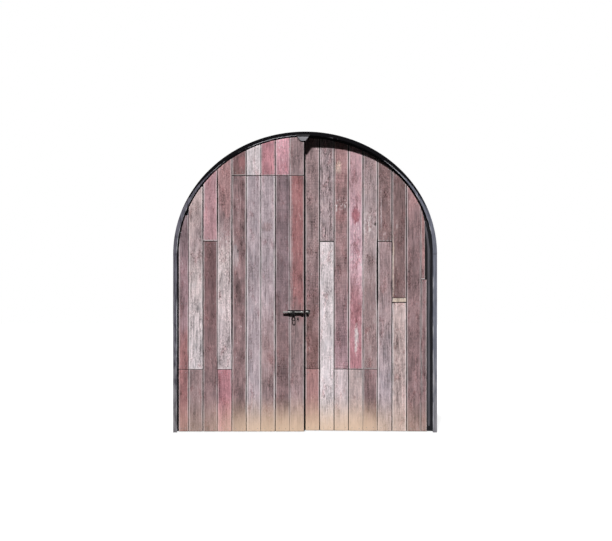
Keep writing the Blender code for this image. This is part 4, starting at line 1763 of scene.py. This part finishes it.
@dataclass
class PadlockBolt:
    """Padlock bolt: plate with guides, rod, hanging hasp, staple, and keeper on the right leaf."""

    door: Door
    plate: Box = field(default_factory=partial(Box.of, "bolt_plate"))
    rod: Box = field(default_factory=partial(Box.of, "bolt_rod"))
    hasp: Box = field(default_factory=partial(Box.of, "bolt_hasp"))
    staple: Box = field(default_factory=partial(Box.of, "hasp_staple"))
    ease: float = 0.0008
    corner_steps: int = 6
    bend_points: int = 17
    plate_thickness: float = 0.003
    plate_corner: float = 0.005
    plate_screws: tuple[float, ...] = (-0.139, -0.077, -0.053)
    keeper_screws: tuple[float, ...] = (0.0475,)
    screw_radius: float = 0.0038
    screw_rise: float = 0.0165
    screw_sides: int = 12
    guide_length: float = 0.024
    guide_wall: float = 0.003
    guide_margin: float = 0.006
    guide_gap: float = 0.0005
    nose_points: int = 25
    side_points: int = 7
    root_points: int = 11
    keeper_setback: float = 0.003
    keeper_tail: float = 0.018
    keeper_gap: float = 0.001
    rod_ease: float = 0.0015
    groove_start: float = 0.008
    groove_depth: float = 0.0008
    groove_width: float = 0.0016
    hasp_neck: float = 0.014
    hasp_rail: float = 0.008
    hasp_thickness: float = 0.003
    collar_length: float = 0.026
    collar_wall: float = 0.002
    collar_gap: float = 0.0004
    collar_sides: int = 36
    staple_wire: float = 0.002
    staple_bend: float = 0.009
    staple_thickness: float = 0.002
    staple_corner: float = 0.004
    staple_sides: int = 14
    leg_points: int = 5

    @property
    def plate_front(self) -> float:
        """Depth of the plates' front."""
        return self.plate.high[Y] - self.plate_thickness

    def build(self) -> None:
        """Builds and dresses the bolt's pieces."""
        d, margin = self.door, self.guide_margin
        worn = SteelFinish(Tone.STEEL, Tone.STEEL_DARK, 0.4, 0.08, Noise.LEVEL_BRUSH, 0.25, 0.5)
        steel = worn.material("bolt_worn_steel")
        black = SteelFinish(Tone.IRON_GREY, Tone.IRON_WORN, 0.42, 0.12, roughness=0.6, specular=0.1)
        black = replace(black, painted_above=d.bolt_height).material("bolt_black_plate")
        iron = SteelFinish(Tone.IRON, Tone.IRON_WORN, wear=0.4, roughness=0.5, specular=0.2)
        iron = iron.material("hasp_black_iron")
        start, end = self.plate.low[X], self.plate.high[X]
        guides = (start + margin, end - margin - self.guide_length)
        guides = Surface.joined([self._guide(place, self.guide_gap) for place in guides])
        add_piece(guides, "bolt_rod_guides", "left_leaf", steel)
        plate = Surface.joined([self._plate(start, end), self._screws(self.plate_screws)])
        add_piece(plate, "bolt_back_plate", "left_leaf", black, ["bolt_plate"])
        start = d.board_start + self.keeper_setback
        end = start + self.guide_length + self.keeper_tail
        catch = self._guide(start, self.keeper_gap).moved(d.swing)
        add_piece(catch, "bolt_keeper_guide", "right_leaf", steel)
        keeper = Surface.joined([self._plate(start, end), self._screws(self.keeper_screws)]).moved(d.swing)
        add_piece(keeper, "bolt_keeper_plate", "right_leaf", black, ["bolt_keeper"])
        add_piece(self._rod(), "bolt_round_rod", "bolt", steel, ["bolt_rod"])
        add_piece(self._hasp(), "bolt_slotted_hasp", "hasp", iron, ["bolt_hasp"])
        add_piece(self._staple(), "hasp_wire_staple", "left_leaf", iron, ["hasp_staple"])

    def _plate(self, start: float, end: float) -> Surface:
        """Flat plate with rounded corners.

        Args:
            start: its left edge.
            end: its right edge.

        Returns:
            The closed plate.
        """
        corners = rectangle(start, end, self.plate.low[Z], self.plate.high[Z])
        outline = eased_outline(corners, self.plate_corner, self.corner_steps)
        return eased_slab(outline, self.plate_front, self.plate.high[Y], self.ease)

    @staticmethod
    def _eased(ease: float) -> list[tuple[float, float]]:
        """Points of a small rounded edge: distance in from the side, and down from the face."""
        return [(0.0, ease), (0.3 * ease, 0.3 * ease), (ease, 0.0)]

    def _guide(self, start: float, gap: float) -> Surface:
        """Bored guide: a round-nosed outline and the bore's circle, carried along the rod.

        Each point of the bore lies on the line from the rod's axis to its partner on the outline.
        The outline is a half circle in front and straight sides back to the plate.

        Args:
            start: where it begins.
            gap: room round the rod.

        Returns:
            The closed guide.
        """
        d, bore, e, length = self.door, self.door.rod_radius + gap, self.ease, self.guide_length
        nose = bore + self.guide_wall
        turn = np.linspace(-math.pi / 2, math.pi / 2, self.nose_points)
        root = (self.plate_front + self.plate.high[Y]) / 2 - d.rod_y
        back = np.linspace(0.0, root, self.side_points)[1:]
        side = np.linspace(nose, -nose, self.root_points)[1:-1]
        outer = np.concatenate([
            np.column_stack([-nose * np.cos(turn), nose * np.sin(turn)]),
            np.column_stack([back, np.full(len(back), nose)]),
            np.column_stack([np.full(len(side), root), side]),
            np.column_stack([back[::-1], np.full(len(back), -nose)]),
        ])
        ray = outer / np.linalg.norm(outer, axis=1, keepdims=True)
        edge = self._eased(e)
        outside = edge[::-1] + [(shrink, length - along) for shrink, along in edge]
        inside = [(e, length), (0.0, length - e), (0.0, e), (e, 0.0)]
        rings = [outer - shrink * ray for shrink, _ in outside]
        rings += [(bore + grow) * ray for grow, _ in inside]
        x = start + np.array([along for _, along in outside + inside])[:, None]
        y, z = np.moveaxis(np.stack(rings) + (d.rod_y, d.bolt_height), -1, 0)
        return Surface.grid(spread(x, y, z), along=True)

    def _screws(self, places: Sequence[float]) -> Surface:
        """Round heads in two rows on a plate, each a turned dome with a socket in its top.

        Args:
            places: where the pairs stand across.

        Returns:
            The closed heads.
        """
        stations = [(behind, share * self.screw_radius) for behind, share in SOCKET_HEAD]
        rows = (self.door.bolt_height - self.screw_rise, self.door.bolt_height + self.screw_rise)
        centres = ((x, self.plate_front, z) for x in places for z in rows)
        return Surface.joined([lathe(stations, centre, Y, self.screw_sides) for centre in centres])

    def _rod(self) -> Surface:
        """Round rod with eased ends and a turned groove near its tail.

        Returns:
            The closed rod.
        """
        e, r, start, end = self.rod_ease, self.door.rod_radius, self.rod.low[X], self.rod.high[X]
        groove, deep = start + self.groove_start, self.groove_depth
        far = groove + deep + self.groove_width
        stations = [(start, r - e), (start + 0.4 * e, r - 0.4 * e), (start + e, r)]
        stations += [(groove, r), (groove + deep, r - deep), (far, r - deep), (far + deep, r)]
        stations += [(end - e, r), (end - 0.4 * e, r - 0.4 * e), (end, r - e)]
        return lathe(stations, (0.0, self.door.rod_y, self.door.bolt_height), X)

    def _slot_outline(self, top: float, foot: float, radius: float) -> np.ndarray:
        """Upright outline with round ends, under the middle of the hasp.

        Args:
            top: drop from the rod's axis to its upper end.
            foot: drop to its lower end.
            radius: radius of its ends.

        Returns:
            Points across and up.
        """
        turn = np.linspace(0.0, math.pi, self.bend_points)
        x, z = self.hasp.middle[X], self.door.bolt_height
        cos, sin = radius * np.cos(turn), radius * np.sin(turn)
        upper = np.column_stack([x + cos, z - top - radius + sin])
        lower = np.column_stack([x - cos, z - foot + radius - sin])
        return np.concatenate([upper, lower])

    def _hasp(self) -> Surface:
        """Collar on the rod and the slotted loop that hangs from it, flush with its front.

        The loop is a ring: its outer and inner outlines, eased at the edges, are carried from the
        front to the back and round again.

        Returns:
            The closed collar and loop.
        """
        d, e, edge = self.door, self.ease, self._eased(self.ease)
        bore = d.rod_radius + self.collar_gap
        outer = bore + self.collar_wall
        start, end = (self.hasp.middle[X] + half * self.collar_length / 2 for half in (-1, 1))
        stations = [(start, bore + e), *((start + along, outer - shrink) for shrink, along in edge[::-1])]
        stations += [*((end - along, outer - shrink) for shrink, along in edge), (end, bore + e)]
        stations += [(end - e, bore), (start + e, bore)]
        centre = (0.0, d.rod_y, d.bolt_height)
        collar = lathe(stations, centre, X, self.collar_sides, ring=True)

        front, back = d.rod_y - outer, d.rod_y - outer + self.hasp_thickness
        top = math.sqrt(bore**2 - (d.rod_y - back) ** 2) + self.collar_wall / 3
        length, half, rail = d.bolt_height - self.hasp.low[Z], self.hasp.size[X] / 2, self.hasp_rail
        outside = [self._slot_outline(top + a, length - a, half - a) for a, _ in edge]
        inside = [self._slot_outline(self.hasp_neck - a, length - rail + a, half - rail + a) for a, _ in edge]
        outlines = np.stack(outside + inside[::-1] + inside + outside[::-1])
        sink = np.array([depth for _, depth in edge])
        depth = np.concatenate([front + sink, front + sink[::-1], back - sink, back - sink[::-1]])
        points = np.insert(outlines, 1, depth[:, None], axis=-1)
        return Surface.joined([collar, Surface.grid(points, along=True)])

    def _staple(self) -> Surface:
        """Small plate and bent wire: a circle carried along a leg, a half turn and the other leg.

        Returns:
            The closed plate and wire.
        """
        (left, tip, low), (right, back, high) = self.staple.low, self.staple.high
        front = back - self.staple_thickness
        outline = eased_outline(rectangle(left, right, low, high), self.staple_corner, self.corner_steps)
        plate = eased_slab(outline, front, back, self.ease / 2)
        r, bend = self.staple_wire, self.staple_bend
        centre = tip + r + bend
        turn = np.linspace(0.0, math.pi, self.bend_points)
        leg = np.linspace((front + back) / 2, centre, self.leg_points)[:-1]
        still = np.zeros(len(leg))
        depth = np.concatenate([leg, np.full(len(turn), centre), leg[::-1]])
        along = np.concatenate([still - 1.0, -np.cos(turn), still + 1.0])
        out = np.concatenate([still, np.sin(turn), still])
        cos, sin = circle(self.staple_sides)
        x, _, z = self.staple.middle
        y, z = depth[:, None] - out[:, None] * (bend + r * cos), z + along[:, None] * (bend + r * cos)
        return Surface.joined([plate, Surface.grid(spread(x + r * sin, y, z))])


@dataclass
class Studio:
    """Floor, light and camera."""

    image_width: float = 6.12
    distance: float = 10.0
    camera_x: float = -0.81
    aim_x: float = 0.009
    aim_z: float = 1.62
    sensor: float = 36.0
    key_strength: float = 6.25
    key_elevation: float = math.radians(60.0)
    key_turn: float = math.radians(-16.0)
    back_strength: float = 3.2
    back_elevation: float = math.radians(48.0)
    back_turn: float = math.radians(160.0)
    softness: float = math.radians(3.0)
    sky_strength: float = 0.008
    floor_size: float = 40.0
    floor_grey: float = 0.8
    floor_glow: float = 0.98
    floor_white: float = 0.85
    floor_bounce: float = 0.006

    def build(self) -> None:
        """Builds the stage."""
        self._floor()
        self._sky()
        self._sun("studio_key", self.key_strength, self.key_elevation, self.key_turn)
        self._sun("studio_back", self.back_strength, self.back_elevation, self.back_turn)
        self._camera()

    def _floor(self) -> None:
        """Pale floor that looks white to the camera but keeps shadows."""
        h = self.floor_size / 2
        points = np.array([[-h, -h, 0], [h, -h, 0], [-h, h, 0], [h, h, 0]], float)
        floor = Surface(points, np.array([[0, 1, 3, 2]])).piece("studio_floor", SECTION_UV)
        g = Graph.named("studio_floor_white")
        pale = g.node("ShaderNodeBsdfDiffuse", inputs={"Color": (*[self.floor_grey] * 3, 1.0)})
        glow = g.node("ShaderNodeEmission", inputs={"Color": WHITE, "Strength": self.floor_glow})
        white = g.node("ShaderNodeMixShader", inputs={0: self.floor_white, 1: pale, 2: glow})
        bounce = g.node("ShaderNodeBsdfDiffuse", inputs={"Color": (*[self.floor_bounce] * 3, 1.0)})
        mixed = g.node("ShaderNodeMixShader", inputs={0: self._seen(g), 1: bounce, 2: white})
        g.node("ShaderNodeOutputMaterial", inputs={"Surface": mixed})
        floor.data.materials.append(g.owner)
        LOG.info("studio_floor: stage")

    @staticmethod
    def _seen(g: Graph) -> Field:
        """1 for rays that come from the camera, a mirror reflection or glass.

        Args:
            g: the graph.

        Returns:
            The mask.
        """
        kinds = ("Camera", "Glossy", "Transmission")
        camera, glossy, glass = (g.node("ShaderNodeLightPath", output=f"Is {kind} Ray") for kind in kinds)
        return camera | glossy | glass

    def _sky(self) -> None:
        """Even soft light all round, behind a white background."""
        world = bpy.data.worlds.new("studio_sky")
        bpy.context.scene.world = world
        g = Graph(world)
        strength = self.sky_strength + self._seen(g) * (1.0 - self.sky_strength)
        light = g.node("ShaderNodeBackground", inputs={"Color": WHITE, "Strength": strength})
        g.node("ShaderNodeOutputWorld", inputs={"Surface": light})

    def _sun(self, name: str, strength: float, elevation: float, turn: float) -> None:
        """Adds a soft distant lamp.

        Args:
            name: its name.
            strength: its strength.
            elevation: its angle over the floor.
            turn: 0 shines from the front, and it turns to the right.
        """
        lamp = bpy.data.lights.new(name, "SUN")
        lamp.energy = strength
        lamp.angle = self.softness
        sun = bpy.data.objects.new(name, lamp)
        sun.rotation_euler = (math.pi / 2 - elevation, 0.0, turn)
        bpy.context.scene.collection.objects.link(sun)

    def _camera(self) -> None:
        """Level camera in front of the door, a little left of its middle."""
        lens = bpy.data.cameras.new("studio_camera")
        lens.sensor_width = self.sensor
        lens.lens = self.sensor * self.distance / self.image_width
        lens.shift_x = (self.aim_x - self.camera_x) / self.image_width
        camera = bpy.data.objects.new("studio_camera", lens)
        camera.location = (self.camera_x, -self.distance, self.aim_z)
        camera.rotation_euler = (math.pi / 2, 0.0, 0.0)
        bpy.context.scene.collection.objects.link(camera)
        bpy.context.scene.camera = camera


# What each board is. Columns are numbered outward from the meeting edges


def board(
    *tones: Tone | tuple[float, Tone],
    end_back: float = 0.0005,
    edge_back: float = 0.0,
    overhang: float = 0.0,
    **looks: float | tuple[Mark, ...],
) -> BoardSpec:
    """Describes a board.

    Args:
        tones: its only tone, or heights and the tone that it has there.
        end_back: how far its level upper end has shrunk back from the joint.
        edge_back: how far its outer edge is cut back, on the last column.
        overhang: how far it reaches past the leaf's last board edge.
        looks: what differs from the usual BoardFinish.

    Returns:
        The board.
    """
    stops = tuple((0.0, tone) if isinstance(tone, Tone) else tone for tone in tones)
    return BoardSpec(BoardFinish(stops, **looks), end_back, edge_back, overhang)


LEFT_BOARDS = {
    "1_lower": board(
        (0.5, Tone.WARM_GREY), (1.05, Tone.GREY_BROWN), (1.35, Tone.RED_BROWN), (1.9, Tone.BRICK_BROWN),
        light_left=0.35, end_back=0.0015, marks=(Mark(-0.138, 1.85, 0.017, 0.90, Tone.WARM_GREY),),
    ),
    "1_upper": board(Tone.WARM_GREY, light_foot=0.3, bare=0.3),
    "2_lower": board(
        (0.9, Tone.BROWN), (1.5, Tone.SLATE_MAUVE),
        flakes=0.0, patches=0.9, saw=0.6, end_back=0.0015,
    ),
    "2_upper": board(Tone.PALE_PINK, light_foot=0.7, flakes=0.45),
    "3_lower": board(
        (0.9, Tone.WARM_GREY), (1.55, Tone.LILAC_GREY), (2.3, Tone.LILAC_GREY),
        flakes=0.35, flake_foot=1.85, flake_top=2.2, light_right=0.8, end_back=0.0015,
        marks=(Mark(-0.385, 2.06, 0.05, 0.05, Tone.CLAY, 0.6),),
    ),
    "3_upper": board(Tone.ROSE, light_foot=0.5, flakes=0.1, bare=0.0),
    "4_lower": board(
        Tone.LILAC_GREY, streaks=1.6, blotches=1.4, light_left=0.8, light_right=0.7, end_back=0.004
    ),
    "4_upper": board(Tone.WHITEWASH, flakes=0.0, light_right=0.8),
    "5_lower": board(
        (0.4, Tone.BROWN), (2.6, Tone.BROWN),
        streaks=1.4, blotches=2.6, flakes=0.2, bare=0.25, light_right=0.4, end_back=0.004,
        marks=(
            Mark(-0.660, 1.40, 0.028, 0.13, Tone.KNOT, 0.42),
            Mark(-0.675, 1.815, 0.014, 0.020, Tone.KNOT, ragged=1.0),
            Mark(-0.695, 1.77, 0.032, 0.12, Tone.CHALK, 0.6, 3.0),
            Mark(-0.630, 2.40, 0.016, 0.20, Tone.DARK_BROWN, 0.7),
        ),
    ),
    "5_upper": board(
        (2.58, Tone.BURNT_BROWN), (2.72, Tone.DARK_BROWN),
        light_foot=0.4, marks=(Mark(-0.630, 2.70, 0.04, 0.07, Tone.BRICK_BROWN, 0.7),),
    ),
    "6_lower": board(Tone.ROSE, flakes=0.05, bare=0.0, light_left=0.3),
    "6_upper": board(
        (1.0, Tone.CHALK), (1.75, Tone.BONE), (2.05, Tone.WARM_GREY), (2.25, Tone.ROSE_BROWN),
        streaks=1.7, patches=1.5, specks=2.2, blotches=1.6, flakes=0.45, flake_top=2.0,
        light_foot=0.6, light_right=0.5,
    ),
    "7_lower": board(
        (0.5, Tone.BROWN), (1.3, Tone.DARK_BROWN), (1.95, Tone.DARK_BROWN),
        specks=1.5, flakes=0.1, end_back=0.004,
    ),
    "7_upper": board(Tone.FADED_ROSE, streaks=0.8, patches=0.7, flakes=0.08, light_foot=0.8, light_left=0.5),
    "8_lower": board(Tone.GREY_BROWN),
    "8_upper": board(
        (0.7, Tone.WHITEWASH), (1.5, Tone.BONE), (1.9, Tone.GREY_PINK), (2.3, Tone.ASH),
        streaks=1.8, patches=1.5, specks=1.6, bare=0.25, flakes=0.4, flake_top=1.6,
        light_foot=0.7, light_left=0.5, light_right=0.5,
    ),
    "9_lower": board(Tone.RED_BROWN, flakes=0.1, edge_back=0.002),
    "9_upper": board(
        (0.9, Tone.RED_BROWN), (1.2, Tone.MAUVE), (1.7, Tone.MAUVE), (1.9, Tone.SLATE_MAUVE),
        edge_back=0.002,
    ),
}

RIGHT_BOARDS = {
    "1_lower": board(Tone.DULL_RED, flakes=0.1, blotches=0.8),
    "1_upper": board(
        (0.9, Tone.BURNT_BROWN), (1.45, Tone.BROWN), (1.9, Tone.GREY_BROWN), (2.4, Tone.GREY_BROWN),
        specks=2.2, saw=1.1,
    ),
    "2_lower": board(
        Tone.WHITEWASH, streaks=1.2, specks=1.5, blotches=1.4, flakes=0.3,
        light_left=0.7, light_right=0.9, end_back=0.006,
    ),
    "2_upper": board(
        Tone.STONE_GREY, streaks=2.8, patches=2.2, specks=2.4, checks=1.0, flakes=0.35, bare=0.3,
        light_foot=0.2,
    ),
    "3_lower": board(Tone.CHALK, light_right=0.5, end_back=0.003),
    "3_upper": board(
        (0.9, Tone.MAUVE), (1.7, Tone.BROWN), (2.6, Tone.ROSE_BROWN),
        specks=1.7, saw=1.2, blotches=2.3, flakes=0.8, flake_foot=2.16, flake_top=2.28,
        light_foot=0.2, light_right=0.5,
        marks=(
            Mark(0.365, 2.17, 0.06, 0.06, Tone.RED_BROWN, 0.6, 3.0),
            Mark(0.335, 2.66, 0.04, 0.06, Tone.BARE_TAN, 0.45),
        ),
    ),
    "4_lower": board(Tone.ASH, flakes=0.3, end_back=0.003),
    "4_upper": board(
        (0.8, Tone.ROSE), (1.4, Tone.FADED_ROSE), (1.75, Tone.SHELL_PINK), (2.1, Tone.SHELL_PINK),
        (2.4, Tone.DUSTY_PINK),
        blotches=1.4, flakes=0.5, flake_foot=1.55, flake_top=2.10,
        light_foot=0.4, light_left=0.6, light_right=0.6,
        marks=(
            Mark(0.512, 2.18, 0.042, 0.09, Tone.OLD_RED, 0.75),
            Mark(0.510, 1.25, 0.05, 0.22, Tone.OLD_RED, 0.25),
            Mark(0.515, 0.93, 0.020, 0.13, Tone.LIME, 0.75, 4.0),
        ),
    ),
    "5_lower": board(Tone.BROWN, flakes=0.05),
    "5_upper": board(
        (0.8, Tone.GREY_BROWN), (1.5, Tone.GREY_BROWN), (1.8, Tone.GREY_PINK), (2.4, Tone.GREY_PINK),
        (2.75, Tone.WARM_GREY),
        specks=1.8, blotches=1.6, bare=0.3, flakes=0.75, flake_foot=1.95, flake_top=2.12,
        light_foot=0.4, light_right=0.5,
        marks=(Mark(0.705, 2.085, 0.012, 0.017, Tone.KNOT, 1.0, 0.6),),
    ),
    "6_lower": board(
        (0.5, Tone.LILAC_GREY), (1.0, Tone.STONE_GREY), (1.5, Tone.WARM_GREY),
        streaks=2.0, specks=1.5, blotches=2.6, light_left=0.6, light_right=0.28, end_back=0.005,
    ),
    "6_upper": board(
        Tone.UMBER, bare=0.3, specks=2.2, blotches=2.4, light_foot=0.6, light_left=0.4,
        marks=(Mark(0.765, 2.22, 0.007, 0.24, Tone.CHALK, 0.6),),
    ),
    "7_lower": board(
        Tone.PALE_ASH, streaks=1.3, patches=1.4, flakes=0.4,
        light_left=0.7, light_right=0.6, end_back=0.005,
    ),
    "7_filler": board(Tone.BARE_TAN, flakes=0.0, bare=0.0),
    "7_upper": board(
        Tone.UMBER, blotches=1.4, flakes=0.05, bare=0.3,
        marks=(Mark(0.884, 1.62, 0.007, 0.40, Tone.BARE_TAN, 0.7, 1.0),),
    ),
    "8": board(
        (0.5, Tone.BROWN), (2.1, Tone.BROWN), (2.5, Tone.ROSE_BROWN),
        specks=1.6, flakes=0.05, light_right=0.3,
    ),
    "9_lower": board(Tone.BROWN, flakes=0.1, overhang=0.010, edge_back=0.008),
    "9_upper": board(
        (1.6, Tone.ROSE_BROWN), (2.1, Tone.DULL_RED),
        flakes=0.4, light_foot=0.8, light_right=0.3, edge_back=0.016,
    ),
}

LEFT_GAPS = (0.0016, 0.0070, 0.0042, 0.0048, 0.0052, 0.0020, 0.0066, 0.0030)
LEFT_SEAMS = (
    OpenSeam(5, 0.85, 2.05, 0.0065),
    OpenSeam(6, 1.95, 2.65, 0.0070),
    OpenSeam(7, 1.90, 2.45, 0.0030),
)
RIGHT_GAPS = (0.0076, 0.0066, 0.0062, 0.0030, 0.0044, 0.0070, 0.0058, 0.0036)
RIGHT_SEAMS = (
    OpenSeam(4, 0.65, 1.20, 0.0030),
    OpenSeam(4, 1.75, 2.90, 0.0050),
    OpenSeam(5, 1.20, 1.98, 0.0110),
)


def main() -> None:
    """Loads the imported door, dresses it and sets the stage."""
    logging.basicConfig(level=logging.INFO, format="%(message)s")
    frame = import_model()
    bpy.context.scene.view_settings.view_transform = "Standard"

    door = Door.packed(frame["joints"])
    SteelFrame(door).build()
    Leaf(door, Side.LEFT, LEFT_BOARDS, LEFT_GAPS, LEFT_SEAMS, seed=1000).build()
    Leaf(door, Side.RIGHT, RIGHT_BOARDS, RIGHT_GAPS, RIGHT_SEAMS, seed=2000, bare_stile=0.046).build()
    BarrelHinges(door).build()
    PadlockBolt(door).build()
    Studio().build()


if __name__ == "__main__":
    main()
